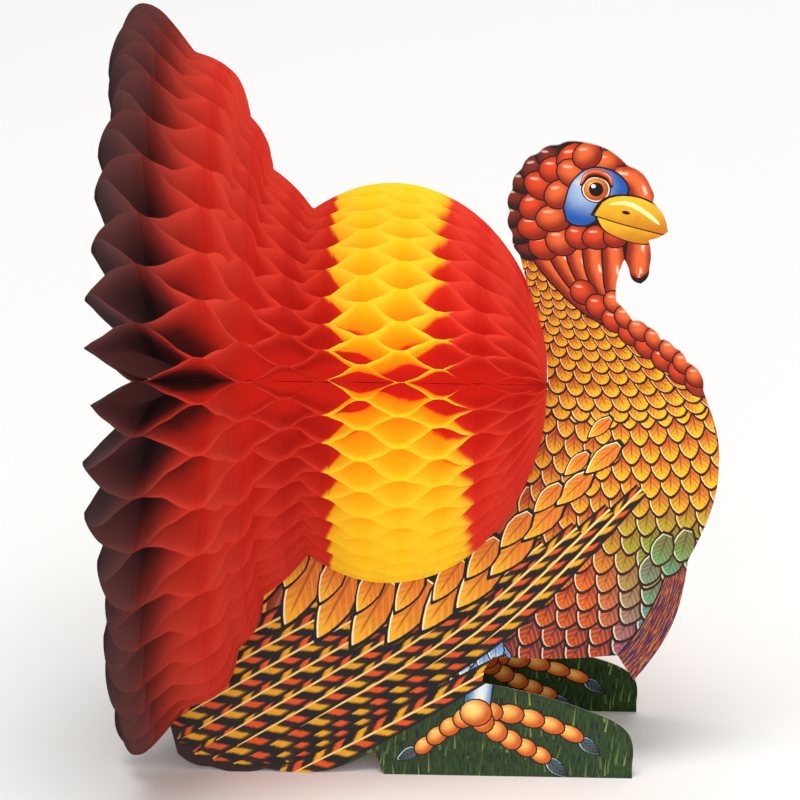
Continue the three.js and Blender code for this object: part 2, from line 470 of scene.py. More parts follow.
@dataclass(frozen=True)
class PrintedCard:
    """Glossy printed card: an ink over coated board."""

    ink: Ink
    fibre_scale: float = 1400.0
    fibre_detail: float = 2.0
    fibre_bump: Span = (0.12, 0.0002)
    fibre_roughness: float = 0.16
    print_roughness: float = 0.38
    core_roughness: float = 0.62
    specular: float = 0.16

    def material(self) -> bpy.types.Material:
        """Builds the material of this ink.

        Returns:
            The material.
        """
        material, g = new_material(f"print_{self.ink.name.lower()}")
        inks = {
            Ink.CORE: BoardCore(),
            Ink.WASH: WashInk(),
            Ink.LINE: LineInk(),
            Ink.VANE: VaneInk(),
            Ink.LUMP: LumpInk(),
            Ink.FOLD: FoldInk(),
            Ink.BARRED: BarredInk(),
            Ink.STREAK: StreakInk(),
            Ink.TURF: TurfInk(),
        }
        fibre = g.noise(g.place(), self.fibre_scale, self.fibre_detail)
        roughness = self.core_roughness if self.ink is Ink.CORE else self.print_roughness
        inputs = {
            "Base Color": inks[self.ink].colour(g),
            "Roughness": fibre * self.fibre_roughness + roughness,
            "Specular IOR Level": self.specular,
            "Normal": g.bump(fibre, *self.fibre_bump),
        }
        g.surface(g.node("ShaderNodeBsdfPrincipled", {}, inputs))
        return material


@dataclass(frozen=True)
class BoardCore:
    """White board core with grey fibres."""

    white: Colour = paint("F4F0E6")
    grey: Colour = paint("CFC8BA")
    scale: float = 900.0

    def colour(self, g: Graph) -> Wire:
        """Draws the core's colour."""
        return g.mix(g.noise(g.place(), self.scale), self.white, self.grey)


@dataclass(frozen=True)
class WashInk:
    """One colour running softly into another down the shape."""

    cloud_scale: float = 2.5
    cloud_share: float = 0.5

    def colour(self, g: Graph) -> Wire:
        """Draws the ink's colour.

        Args:
            g: the material's graph.

        Returns:
            The colour.
        """
        u, v = g.map("print")
        cloud = g.noise(g.vector(u, v), self.cloud_scale) - 0.5
        return g.mix((v + cloud * self.cloud_share).ease(0.0, 1.0), g.colour_of("root"), g.colour_of("tip"))


@dataclass(frozen=True)
class LineInk:
    """Line work: nearly even, a little dry in places."""

    dry_scale: float = 500.0
    dry_span: Span = (0.45, 0.9)
    dry_share: float = 0.35

    def colour(self, g: Graph) -> Wire:
        """Draws the ink's colour."""
        dry = g.noise(g.place(), self.dry_scale).ease(*self.dry_span)
        return g.mix(dry * self.dry_share, g.colour_of("root"), g.colour_of("tip"))


@dataclass(frozen=True)
class VaneInk:
    """A feather: root to tip, a shaft line and slanting barbs."""

    grain: Span = (2.0, 5.0)
    grain_scale: float = 1.6
    brush: float = 0.35
    tip_span: Span = (0.34, 0.9)
    barbs: float = 7.0
    barb_slant: float = 2.4
    barb_span: Span = (0.62, 0.95)
    barb_start: Span = (0.1, 0.4)
    barb_share: float = 0.5
    pale: Colour = paint("FFE690")
    pale_step: float = 0.45
    pale_span: Span = (0.8, 1.0)
    pale_end: Span = (0.7, 1.0)
    pale_share: float = 0.14
    shaft: Colour = paint("3A0F06")
    shaft_dark: float = 0.55
    shaft_taper: float = 0.06
    shaft_width: Span = (0.04, 0.13)
    shaft_end: Span = (0.62, 0.86)
    shaft_share: float = 0.85

    def colour(self, g: Graph) -> Wire:
        """Draws the ink's colour.

        Args:
            g: the material's graph.

        Returns:
            The colour.
        """
        u, v = g.map("print")
        root, tip = g.colour_of("root"), g.colour_of("tip")
        brush = g.noise(g.vector(u * self.grain[0], v * self.grain[1]), self.grain_scale) - 0.5
        colour = g.mix((v + brush * self.brush).ease(*self.tip_span), root, tip)
        side = abs(u)
        step = v * self.barbs - side * self.barb_slant
        barb = step.wave().ease(*self.barb_span) * side.ease(*self.barb_start)
        colour = g.mix(barb * self.barb_share, colour, root)
        pale = (step + self.pale_step).wave().ease(*self.pale_span) * (1.0 - v.ease(*self.pale_end))
        colour = g.mix(pale * self.pale_share, colour, self.pale)
        beside = (side + v * self.shaft_taper).ease(*self.shaft_width)
        shaft = (1.0 - beside) * (1.0 - v.ease(*self.shaft_end))
        return g.mix(shaft * self.shaft_share, colour, g.mix(self.shaft_dark, root, self.shaft))


@dataclass(frozen=True)
class LumpInk:
    """A rounded swelling: light on its upper left, dark at its rim."""

    crest: Span = (-0.22, 0.26)
    shade_span: Span = (0.15, 1.12)
    brush_scale: float = 2.2
    brush: float = 0.25
    gleam: Colour = paint("FFE8CC")
    gleam_at: Span = (-0.34, 0.46)
    gleam_shape: Span = (0.6, 4.0)
    gleam_span: Span = (0.12, 0.3)
    gleam_share: float = 0.45

    def colour(self, g: Graph) -> Wire:
        """Draws the ink's colour.

        Args:
            g: the material's graph.

        Returns:
            The colour.
        """
        u, v = g.map("print")
        away = g.math("SQRT", (u - self.crest[0]) ** 2.0 + (v - self.crest[1]) ** 2.0)
        brush = g.noise(g.vector(u, v), self.brush_scale) - 0.5
        shade = (away + brush * self.brush).ease(*self.shade_span)
        colour = g.mix(shade, g.colour_of("tip"), g.colour_of("root"))
        wide = (u - self.gleam_at[0]) ** 2.0 * self.gleam_shape[0]
        tall = (v - self.gleam_at[1]) ** 2.0 * self.gleam_shape[1]
        gleam = 1.0 - g.math("SQRT", wide + tall).ease(*self.gleam_span)
        return g.mix(gleam * self.gleam_share, colour, self.gleam)


@dataclass(frozen=True)
class FoldInk:
    """A long fold of skin: light along one side of its crest."""

    crest: float = 0.15
    shade_span: Span = (0.1, 1.0)
    grain_along: float = 0.12
    brush_scale: float = 3.0
    brush: float = 0.3
    gleam: Colour = paint("FFE6D2")
    gleam_at: float = 0.28
    gleam_width: Span = (0.05, 0.2)
    gleam_rate: float = 0.09
    gleam_brush: float = 0.4
    gleam_span: Span = (0.55, 0.95)
    gleam_share: float = 0.7

    def colour(self, g: Graph) -> Wire:
        """Draws the ink's colour.

        Args:
            g: the material's graph.

        Returns:
            The colour.
        """
        u, v = g.map("print")
        brush = g.noise(g.vector(u, v * self.grain_along), self.brush_scale) - 0.5
        shade = (abs(u - self.crest) + brush * self.brush).ease(*self.shade_span)
        colour = g.mix(shade, g.colour_of("tip"), g.colour_of("root"))
        broken = (v * self.gleam_rate + brush * self.gleam_brush).wave().ease(*self.gleam_span)
        gleam = (1.0 - abs(u - self.gleam_at).ease(*self.gleam_width)) * broken
        return g.mix(gleam * self.gleam_share, colour, self.gleam)


@dataclass(frozen=True)
class BarredInk:
    """A flight feather: slanting bars that break step at the shaft, dark at both edges."""

    bars: Bands = (
        (0.0, paint("110C0A")),
        (0.25, paint("110C0A")),
        (0.32, paint("DE5418")),
        (0.46, paint("DE5418")),
        (0.53, paint("150F0B")),
        (0.71, paint("3A1D0E")),
        (0.78, paint("E8A41A")),
        (0.92, paint("E8A41A")),
        (1.0, paint("2A160C")),
    )
    pitch: float = 18.0
    slant: float = 0.34
    break_step: float = 0.5
    ragged: float = 0.16
    ragged_grain: Span = (7.0, 0.3)
    ragged_scale: float = 1.5
    ragged_detail: float = 4.0
    barb: Colour = paint("1A0F08")
    barb_along: float = 1.6
    barb_slant: float = 6.0
    barb_across: float = 0.6
    barb_scale: float = 2.4
    barb_span: Span = (0.5, 0.85)
    barb_share: float = 0.45
    edge: Colour = paint("0D0A09")
    edge_span: Span = (0.7, 0.94)
    edge_share: float = 0.92

    def colour(self, g: Graph) -> Wire:
        """Draws the ink's colour.

        Args:
            g: the material's graph.

        Returns:
            The colour.
        """
        u, v = g.map("print")
        side = abs(u)
        upper = u.over(0.0)
        grain = g.vector(u * self.ragged_grain[0], v * self.ragged_grain[1])
        ragged = (g.noise(grain, self.ragged_scale, self.ragged_detail) - 0.5) * self.ragged
        step = v * (1.0 / self.pitch) + side * self.slant + upper * self.break_step + ragged
        colour = g.ramp(step.part(), self.bars)
        barbs = g.vector(v * self.barb_along + side * self.barb_slant, u * self.barb_across)
        barb = g.noise(barbs, self.barb_scale).ease(*self.barb_span)
        colour = g.mix(barb * self.barb_share, colour, self.barb)
        return g.mix(side.ease(*self.edge_span) * self.edge_share, colour, self.edge)


@dataclass(frozen=True)
class StreakInk:
    """Coarse hair: streaks of several colours along the shape."""

    hairs: Bands = (
        (0.28, paint("0C0C16")),
        (0.4, paint("22346E")),
        (0.47, paint("2B1B2E")),
        (0.54, paint("B8481C")),
        (0.6, paint("E8913A")),
        (0.66, paint("3A1E34")),
        (0.78, paint("2E5CA0")),
    )
    grain: Span = (5.0, 0.05)
    scale: float = 2.6
    detail: float = 5.0
    ground_share: float = 0.25

    def colour(self, g: Graph) -> Wire:
        """Draws the ink's colour.

        Args:
            g: the material's graph.

        Returns:
            The colour.
        """
        u, v = g.map("print")
        hair = g.noise(g.vector(u * self.grain[0], v * self.grain[1]), self.scale, self.detail)
        return g.mix(self.ground_share, g.ramp(hair, self.hairs), g.colour_of("root"))


@dataclass(frozen=True)
class TurfInk:
    """Short dark grass."""

    grasses: Bands = (
        (0.3, paint("0B100A")),
        (0.46, paint("1B2A14")),
        (0.56, paint("2F4A1E")),
        (0.64, paint("1A2712")),
        (0.74, paint("56702C")),
    )
    grain: Span = (1.6, 0.16)
    scale: float = 1.4
    detail: float = 5.0

    def colour(self, g: Graph) -> Wire:
        """Draws the ink's colour.

        Args:
            g: the material's graph.

        Returns:
            The colour.
        """
        u, v = g.map("print")
        blade = g.noise(g.vector(u * self.grain[0], v * self.grain[1]), self.scale, self.detail)
        return g.ramp(blade, self.grasses)


@dataclass(frozen=True)
class BindingThread:
    """Waxed thread that gathers the sheets."""

    dark: Colour = paint("5A120D")
    light: Colour = paint("A8301F")
    fibre_scale: float = 2600.0
    fibre_bump: Span = (0.4, 0.0003)
    roughness: Span = (0.6, 0.8)

    def material(self) -> bpy.types.Material:
        """Builds the material.

        Returns:
            The material.
        """
        material, g = new_material("binding_thread")
        fibre = g.noise(g.place(), self.fibre_scale)
        smooth, rough = self.roughness
        inputs = {
            "Base Color": g.mix(fibre, self.dark, self.light),
            "Roughness": fibre * (rough - smooth) + smooth,
            "Normal": g.bump(fibre, *self.fibre_bump),
        }
        g.surface(g.node("ShaderNodeBsdfPrincipled", {}, inputs))
        return material


@dataclass(frozen=True)
class PaleFloor:
    """Matt pale paper that the figure stands on."""

    colour: Colour = paint("F7F6F4")
    tooth_scale: float = 60.0
    roughness: Span = (0.85, 0.95)
    specular: float = 0.1

    def material(self) -> bpy.types.Material:
        """Builds the material.

        Returns:
            The material.
        """
        material, g = new_material("pale_floor")
        tooth = g.noise(g.place(), self.tooth_scale)
        smooth, rough = self.roughness
        inputs = {
            "Base Color": self.colour,
            "Roughness": tooth * (rough - smooth) + smooth,
            "Specular IOR Level": self.specular,
        }
        g.surface(g.node("ShaderNodeBsdfPrincipled", {}, inputs))
        return material


@lru_cache(maxsize=None)
def finish_of(finish: Any) -> bpy.types.Material:
    """The one material of a finish."""
    return finish.material()


# Frame and meshes


def open_edges(faces: Points) -> list[tuple[int, int]]:
    """Finds the edges that only one triangle has.

    Args:
        faces: vertex numbers of each triangle.

    Returns:
        The edges in their triangle's own direction, sorted.
    """
    edges = {(int(f[k]), int(f[(k + 1) % 3])) for f in faces for k in range(3)}
    return [(a, b) for a, b in sorted(edges) if (b, a) not in edges]


class Side(Enum):
    """The two mirrored halves, by the sign of -y."""

    NEAR = 1
    FAR = -1

    @property
    def word(self) -> str:
        """The half's name in pieces and bodies."""
        return self.name.lower()

    @property
    def number(self) -> int:
        """The half's row in a table of chances: 0 for the near one, 1 for the far one."""
        return (1 - self.value) // 2


@dataclass(frozen=True)
class Layout:
    """Where the frame puts the tissue."""

    pole: float
    rear: float
    hollow: float
    axis: float
    fan: float
    pairs: int
    spine_radius: float

    @classmethod
    def read(cls) -> "Layout":
        """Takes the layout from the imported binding, pairs and side board.

        Returns:
            The layout.
        """
        low, high = (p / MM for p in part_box("tissue_spine"))
        pole = high.x + SPINE_SETBACK
        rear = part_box("tissue_near_01")[0].x / MM
        pairs = sum(name.startswith("tissue_near_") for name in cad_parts)
        splay = math.asin(BoardPlane.read("side_board_near", Side.NEAR, pole, 0.0).out[2])
        axis = (low.z + high.z) / 2
        return cls(pole, rear - pole, low.x - rear, axis, math.pi - splay, pairs, (high.z - low.z) / 2)


@dataclass(frozen=True)
class BoardPlane:
    """The flat of one board: directions up and out, and the outlines of its two faces."""

    origin: Points
    up: Points
    out: Points
    front: Points
    back: Points
    front_at: float
    back_at: float

    @classmethod
    def read(cls, node: str, side: Side, pole: float, axis: float) -> "BoardPlane":
        """Reads a board from the frame.

        Args:
            node: the board's node.
            side: the half it belongs to.
            pole: x of the tissue's front pole.
            axis: height of the tissue axis.

        Returns:
            The board's plane.
        """
        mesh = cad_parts[node].data
        mesh.calc_loop_triangles()
        corners = np.array([v.co for v in mesh.vertices]) / MM
        places, same = np.unique(corners.round(3), axis=0, return_inverse=True)
        faces = same.ravel()[np.array([t.vertices for t in mesh.loop_triangles])]
        a, b, c = (places[faces[:, k]] for k in range(3))
        normals = np.cross(b - a, c - a)
        area = np.linalg.norm(normals, axis=1)
        normals /= np.maximum(area, 1e-9)[:, None]
        outward = normals[:, 1] * -side.value > OUTWARD_COSINE
        out = unit((normals[outward] * area[outward, None]).sum(0))
        up = np.array([0.0, -out[2] * np.sign(out[1]), abs(out[1])])
        origin = np.array([pole, 0.0, axis])
        local = places - origin
        flat = np.stack([local[:, 0], local @ up], 1)
        outlines, offsets = [], []
        for sign in (1, -1):
            face = faces[normals @ out * sign > FACE_COSINE]
            outlines.append(flat[cls._loop(face)])
            offsets.append(float(np.median((local @ out)[face])))
        return cls(origin, up, out, *outlines, *offsets)

    @staticmethod
    def _loop(faces: Points) -> list[int]:
        """Follows the rim of a flat set of triangles.

        Args:
            faces: vertex numbers of each triangle.

        Returns:
            The rim's vertices in order, from the lowest number.
        """
        following = dict(open_edges(faces))
        loop = [min(following)]
        while following[loop[-1]] != loop[0]:
            loop.append(following[loop[-1]])
        return loop

    def place(self, flat: Points, offset: float) -> Points:
        """Turns places in the board's plane into places in the frame.

        Args:
            flat: x and y in the plane, one row each.
            offset: distance out from the axis plane.

        Returns:
            The places in the frame, in millimetres.
        """
        along = np.array([1.0, 0.0, 0.0])
        return self.origin + flat[:, :1] * along + flat[:, 1:] * self.up + offset * self.out


def rounded(outline: Points, corner: float = 34.0, step: float = 1.3, uneven: float = 5.0) -> Points:
    """Rounds a faceted outline between its corners.

    Args:
        outline: the outline's places in order.
        corner: a turn of more degrees than this stays sharp.
        step: longest chord of the result.
        uneven: a place stays sharp where one of its edges is longer than the other by more than this.

    Returns:
        The rounded outline.
    """
    before = outline - np.roll(outline, 1, 0)
    after = np.roll(outline, -1, 0) - outline
    long_before, long_after = (np.linalg.norm(d, axis=1) for d in (before, after))
    turn = np.abs(np.degrees(np.arctan2(
        before[:, 0] * after[:, 1] - before[:, 1] * after[:, 0], (before * after).sum(1)
    )))
    lopsided = np.maximum(long_before, long_after) > uneven * np.minimum(long_before, long_after)
    sharp = (turn > corner) | lopsided
    tangent = before / long_before[:, None] + after / long_after[:, None]
    tangent /= np.maximum(np.linalg.norm(tangent, axis=1), 1e-9)[:, None]
    places = []
    for i, start in enumerate(outline):
        j = (i + 1) % len(outline)
        length = long_after[i]
        chord = after[i] / length
        out = chord if sharp[i] else tangent[i]
        back = chord if sharp[j] else tangent[j]
        count = 1 if sharp[i] and sharp[j] else max(1, math.ceil(length / step))
        for t in np.arange(count) / count:
            h = (2 * t**3 - 3 * t**2 + 1, t**3 - 2 * t**2 + t, 3 * t**2 - 2 * t**3, t**3 - t**2)
            places.append(h[0] * start + h[1] * length * out + h[2] * outline[j] + h[3] * length * back)
    return np.array(places)


def new_piece(name: str, places: Points, faces: Sequence[Sequence[int]]) -> bpy.types.Object:
    """Makes a mesh object in the scene.

    Args:
        name: the piece's name.
        places: vertices in millimetres, one row each.
        faces: vertex numbers of each face.

    Returns:
        The object.
    """
    mesh = bpy.data.meshes.new(name)
    mesh.from_pydata((places * MM).tolist(), [], faces)
    mesh.update()
    piece = bpy.data.objects.new(name, mesh)
    bpy.context.scene.collection.objects.link(piece)
    return piece


# Printed shapes


@dataclass
class Shape:
    """One printed shape: its outline, ink and two colours, and how the ink finds its way about it."""

    outline: Points
    ink: Ink
    root: Colour
    tip: Colour
    locate: Locate
    ribs: list[Points] = field(default_factory=list)


class FeatherCut(Enum):
    """Outlines of a feather: width at the root, place of the widest part, and two powers for the tip."""

    SCALE = (0.5, 0.58, 2.4, 0.5)
    PETAL = (0.42, 0.5, 1.9, 0.62)
    LEAF = (0.34, 0.42, 1.5, 0.86)

    def edge(self, steps: int = 6) -> Points:
        """The outline, anticlockwise.

        Args:
            steps: chords along each side.

        Returns:
            Places across, from -1 to 1, and along, from 0 at the root to 1.
        """
        root, widest, fall, tip = self.value
        v = np.sin(np.linspace(0, math.pi / 2, steps + 1))
        rise = root + (1 - root) * np.sin(np.minimum(1, v / widest) * math.pi / 2)
        drop = (1 - np.clip((v - widest) / (1 - widest), 0, 1) ** fall) ** tip
        half = rise * drop
        right = np.stack([half, v], 1)
        left = np.stack([-half, v], 1)[::-1]
        return np.vstack([right, left[1:]])


@dataclass(frozen=True)
class Plume:
    """Colours of one feather."""

    root: Colour
    tip: Colour
    line: Colour = paint("30120A")
    gleam: Colour = paint("FFF3C4")


@dataclass
class Artwork:
    """Printed shapes in painting order."""

    shapes: list[Shape] = field(default_factory=list)
    light: Span = (-0.8, 0.45)
    light_share: float = 0.035
    gleam_cut: Span = (0.84, 0.4)
    vane_cut: Span = (0.8, -0.7)
    thin_share: float = 0.25
    dry_line: Colour = paint("7A3A1C")

    def patch(self, outline: Points, ink: Ink, root: Colour, tip: Colour) -> None:
        """Adds a shape whose ink runs from its top, at 0, to its bottom, at 1.

        Args:
            outline: the shape's outline.
            ink: how it is coloured.
            root: first colour.
            tip: second colour.
        """
        low, high = outline.min(0), outline.max(0)
        middle, half = (low + high) / 2, (high - low) / 2

        def locate(p: Points) -> Points:
            """Shares of the way across, from -1 to 1, and down."""
            return np.stack([(p[:, 0] - middle[0]) / half[0], (high[1] - p[:, 1]) / (2 * half[1])], 1)

        self.shapes.append(Shape(outline, ink, root, tip, locate))

    def ground(self, outline: Points, ink: Ink, root: Colour) -> None:
        """Adds a shape whose ink reads millimetres."""
        self.shapes.append(Shape(outline, ink, root, root, lambda p: p))

    def line(self, outline: Points, colour: Colour) -> None:
        """Adds line work."""
        self.shapes.append(Shape(outline, Ink.LINE, colour, mixed(colour, self.dry_line, 0.5), lambda p: p))

    @staticmethod
    def oval(
        middle: Sequence[float], across_by: float, up_by: float, tilt: float = 0.0, count: int = 14
    ) -> Points:
        """An ellipse's outline.

        Args:
            middle: its centre.
            across_by: half its width before it is tilted.
            up_by: half its height.
            tilt: degrees that it is turned.
            count: corners.

        Returns:
            The outline, anticlockwise.
        """
        a = np.linspace(0, 2 * math.pi, count, endpoint=False)
        d = turned(tilt)
        return np.array(middle) + np.outer(np.cos(a) * across_by, d) + np.outer(np.sin(a) * up_by, across(d))

    def lump(
        self,
        middle: Sequence[float],
        across_by: float,
        up_by: float,
        tilt: float,
        rim: Colour,
        crest: Colour,
        line: Colour = paint("2A0D08"),
        edge: float = 0.55,
    ) -> None:
        """Adds a rounded swelling with a dark edge.

        Args:
            middle: its centre.
            across_by: half its width before it is tilted.
            up_by: half its height.
            tilt: degrees that it is turned.
            rim: colour at its rim.
            crest: colour where the light falls.
            line: colour of its edge.
            edge: width of its edge.
        """
        centre = np.array(middle, float)
        self.line(self.oval(centre, across_by + edge, up_by + edge, tilt), line)
        d = turned(tilt)

        def locate(p: Points) -> Points:
            """Places in the swelling drawn out to a circle of radius 1, upright as on the board."""
            q = (p - centre) @ np.stack([d, across(d)], 1) / [across_by, up_by]
            return q @ np.stack([d, across(d)], 0)

        self.shapes.append(Shape(self.oval(centre, across_by, up_by, tilt), Ink.LUMP, rim, crest, locate))

    def feather(
        self, root: Points, angle: float, length: float, width: float, cut: FeatherCut, plume: Plume
    ) -> None:
        """Adds a short feather with its edge line and a gleam on the lit side.

        Args:
            root: where it grows.
            angle: degrees that it points.
            length: root to tip.
            width: at its widest.
            cut: its outline.
            plume: its colours.
        """
        d = turned(angle)
        frame_of = np.stack([-across(d) * width / 2, d * length], 0)
        edge = cut.edge()
        shift = np.array(self.light) * width * self.light_share
        middle = np.array([0.0, 0.5])

        def drawn(scale: float, move: float) -> Points:
            """The outline, scaled about its middle and moved towards the light."""
            return root + ((edge - middle) * scale + middle) @ frame_of + shift * move

        self.line(drawn(1.0, 0.0), plume.line)
        gleam, vane = drawn(*self.gleam_cut), drawn(*self.vane_cut)
        self.shapes.append(Shape(gleam, Ink.LINE, plume.gleam, plume.tip, lambda p: p))
        back = np.linalg.inv(frame_of)
        self.shapes.append(Shape(vane, Ink.VANE, plume.root, plume.tip, lambda p: (p - root) @ back))

    def strip(self, path: Points, widths: Points, ink: Ink, root: Colour, tip: Colour) -> None:
        """Adds a long shape along a path; its ink reads across, from -1 to 1, and millimetres along.

        Args:
            path: its middle line, evenly spaced.
            widths: half width at each place of the path.
            ink: how it is coloured.
            root: first colour.
            tip: second colour.
        """
        way = np.gradient(path, axis=0)
        way /= np.linalg.norm(way, axis=1)[:, None]
        left = np.stack([-way[:, 1], way[:, 0]], 1)
        run = run_along(path)
        sides = [path + left * widths[:, None] * s for s in (-1, 1)]
        outline = np.vstack([sides[0], sides[1][::-1]])
        least = self.thin_share * max(widths)

        def locate(p: Points) -> Points:
            """Measures places from the nearest one of the path.

            Args:
                p: places in the plane, one row each.

            Returns:
                Shares of the half width across, and millimetres along.
            """
            near = ((p[:, None, :] - path[None]) ** 2).sum(2).argmin(1)
            off = p - path[near]
            half = np.maximum(widths[near], least)
            return np.stack([(off * left[near]).sum(1) / half, run[near] + (off * way[near]).sum(1)], 1)

        rungs = [np.stack([a, m, b]) for a, m, b in zip(sides[0], path, sides[1])][1:-1]
        self.shapes.append(Shape(outline, ink, root, tip, locate, [path, *rungs]))


def taper(count: int, full: float, start: float, end: float, swell: float = 0.18) -> Points:
    """Half widths along a strip that swells from its start and closes at its end.

    Args:
        count: places along the strip.
        full: greatest half width.
        start: share of that at the start.
        end: share of that at the end.
        swell: part of the length over which each end grows.

    Returns:
        One half width for each place.
    """
    t = np.linspace(0, 1, count)
    rise = start + (1 - start) * np.sin(np.minimum(1, t / swell) * math.pi / 2)
    fall = end + (1 - end) * np.sqrt(np.clip(1 - np.maximum(0, (t - 1 + swell) / swell) ** 2, 0, 1))
    return full * rise * fall


@dataclass(frozen=True)
class Quilt:
    """Rows of overlapping feathers between a left and a right edge, from the top down."""

    left: Places
    right: Places
    widths: Span
    lengths: Span
    sag: float
    cut: FeatherCut
    showing: float = 0.5
    spacing: float = 0.82
    samples: int = 200
    reach: int = 4

    def feathers(self) -> Iterator[tuple[Points, float, float, float]]:
        """Lays out the feathers, the lowest row first.

        Yields:
            Place of the root, angle, length and width of each feather.
        """
        last = self.samples - 1
        edges = [along_curve(side, self.samples) for side in (self.left, self.right)]
        run = run_along((edges[0] + edges[1]) / 2)
        stops = [0.0]
        while stops[-1] < run[-1]:
            t = stops[-1] / run[-1]
            stops.append(stops[-1] + self.showing * np.interp(t, [0, 1], self.lengths))
        for row in reversed(range(len(stops))):
            t = min(1.0, stops[row] / run[-1])
            i = min(last - 1, int(np.searchsorted(run, stops[row])))
            a, b = edges[0][i], edges[1][i]
            ways = [unit(e[min(last, i + self.reach)] - e[max(0, i - self.reach)]) for e in edges]
            width, length = (float(np.interp(t, [0, 1], ends)) for ends in (self.widths, self.lengths))
            count = max(1, round(float(np.linalg.norm(b - a)) / (width * self.spacing)))
            down = -np.abs(across(unit(b - a))) * [0, 1]
            for k in range(count + 2):
                s = (k - 0.5 + 0.5 * (row % 2)) / count
                place = a + (b - a) * s + down * self.sag * 4 * s * (1 - s)
                yield place, heading(ways[0] * (1 - s) + ways[1] * s), length, width


@dataclass
class Plumage:
    """Neck and breast feathers, and the beard."""

    gold: Colour = paint("F0BC18")
    amber: Colour = paint("E0640E")
    rust: Colour = paint("AA340C")
    wine: Colour = paint("5E1626")
    violet: Colour = paint("6A4486")
    leaf: Colour = paint("7C9E24")
    teal: Colour = paint("1E8C80")
    sky: Colour = paint("2C64B4")
    ground: Colour = paint("24100A")
    gleam: Colour = paint("FFF6D0")
    high_line: Colour = paint("4A1606")
    low_line: Colour = paint("140A0C")
    shade_span: Span = (-52, -104)
    amber_span: Span = (-26, -70)
    rust_span: Span = (-66, -98)
    violet_span: Span = (-96, -114)
    cool_span: Span = (-30, -54)
    teal_span: Span = (-54, -82)
    sky_span: Span = (-78, -100)
    front_span: Span = (-3.2, 28.8)
    front_lean: float = 0.32
    warm_span: Span = (30, -6)
    warm_lean: float = 0.2
    beard: Places = ((54, -70), (50.5, -84), (43.5, -100), (31, -118))
    beard_widths: Span = (4.2, 7.6)
    beard_steps: int = 20
    beard_edge: float = 0.6
    beard_line: Colour = paint("0A0A12")
    tuft: Sprigs = ((61, -60, -104), (45, -66, -114), (53, -62, -109), (57, -56, -104), (49, -58, -110))
    tuft_size: Span = (15.0, 10.0)
    tuft_shift: float = -8.0
    breast: Quilt = Quilt(
        left=((2, 1), (-1, -24), (-4, -52), (-14, -82), (-30, -114)),
        right=((62, 1), (68, -22), (68, -44), (60, -68), (50, -86), (34, -108)),
        widths=(8.6, 12.4),
        lengths=(14.0, 20.0),
        sag=5.0,
        cut=FeatherCut.PETAL,
        showing=0.46,
    )
    neck: Quilt = Quilt(
        left=((-13, 57), (-10, 46), (-5.5, 32), (-2, 15), (0.5, -1)),
        right=((-3, 56), (6, 42), (20, 28), (38, 15), (63, 0)),
        widths=(4.4, 8.4),
        lengths=(7.6, 13.6),
        sag=2.5,
        cut=FeatherCut.SCALE,
        showing=0.5,
    )

    def plume_at(self, place: Points) -> Plume:
        """Colours a feather by its place on the bird.

        Args:
            place: where its root is.

        Returns:
            Its colours.
        """
        x, y = place
        low = eased(*self.shade_span, y)
        front = eased(*self.front_span, x + self.front_lean * y)
        warm = eased(*self.warm_span, x + self.warm_lean * y)
        tip = mixed(self.gold, self.amber, max(0.3 * warm, eased(*self.amber_span, y)))
        tip = mixed(tip, self.rust, eased(*self.rust_span, y))
        tip = mixed(tip, self.violet, 0.7 * eased(*self.violet_span, y))
        cool = mixed(self.leaf, self.teal, eased(*self.teal_span, y))
        cool = mixed(cool, self.sky, eased(*self.sky_span, y))
        share = front * eased(*self.cool_span, y)
        tip = mixed(tip, cool, share)
        root = mixed(mixed(self.amber, self.rust, 0.55 + 0.45 * warm), self.wine, low)
        root = mixed(root, mixed(cool, self.ground, 0.5), share * 0.85)
        line = mixed(self.high_line, self.low_line, 0.45 + 0.55 * low)
        return Plume(root, tip, line, mixed(tip, self.gleam, 0.6))

    def _beard(self, art: Artwork) -> None:
        """Prints the tuft of coarse hair that hangs from the breast, under a few feathers of its own.

        Args:
            art: the shapes to add to.
        """
        path = along_curve(self.beard, self.beard_steps)
        widths = np.linspace(*self.beard_widths, self.beard_steps)
        art.strip(path, widths + self.beard_edge, Ink.LINE, self.beard_line, self.beard_line)
        art.strip(path, widths, Ink.STREAK, self.ground, self.ground)
        for x, y, angle in self.tuft:
            place = np.array([x, y], float)
            plume = self.plume_at(place + [0.0, self.tuft_shift])
            art.feather(place, angle, *self.tuft_size, FeatherCut.PETAL, plume)

    def _quilted(self, art: Artwork, quilt: Quilt) -> None:
        """Prints a quilt's feathers, each in the colours of its place."""
        for place, angle, length, width in quilt.feathers():
            art.feather(place, angle, length, width, quilt.cut, self.plume_at(place))

    def draw(self, art: Artwork) -> None:
        """Prints the breast, the beard and the neck.

        Args:
            art: the shapes to add to.
        """
        self._quilted(art, self.breast)
        self._beard(art)
        self._quilted(art, self.neck)


@dataclass(frozen=True)
class Rank:
    """One rank of coverts: where they grow, from the tail forward, how many, and the size of the rearmost."""

    roots: Places
    count: int
    length: float
    width: float


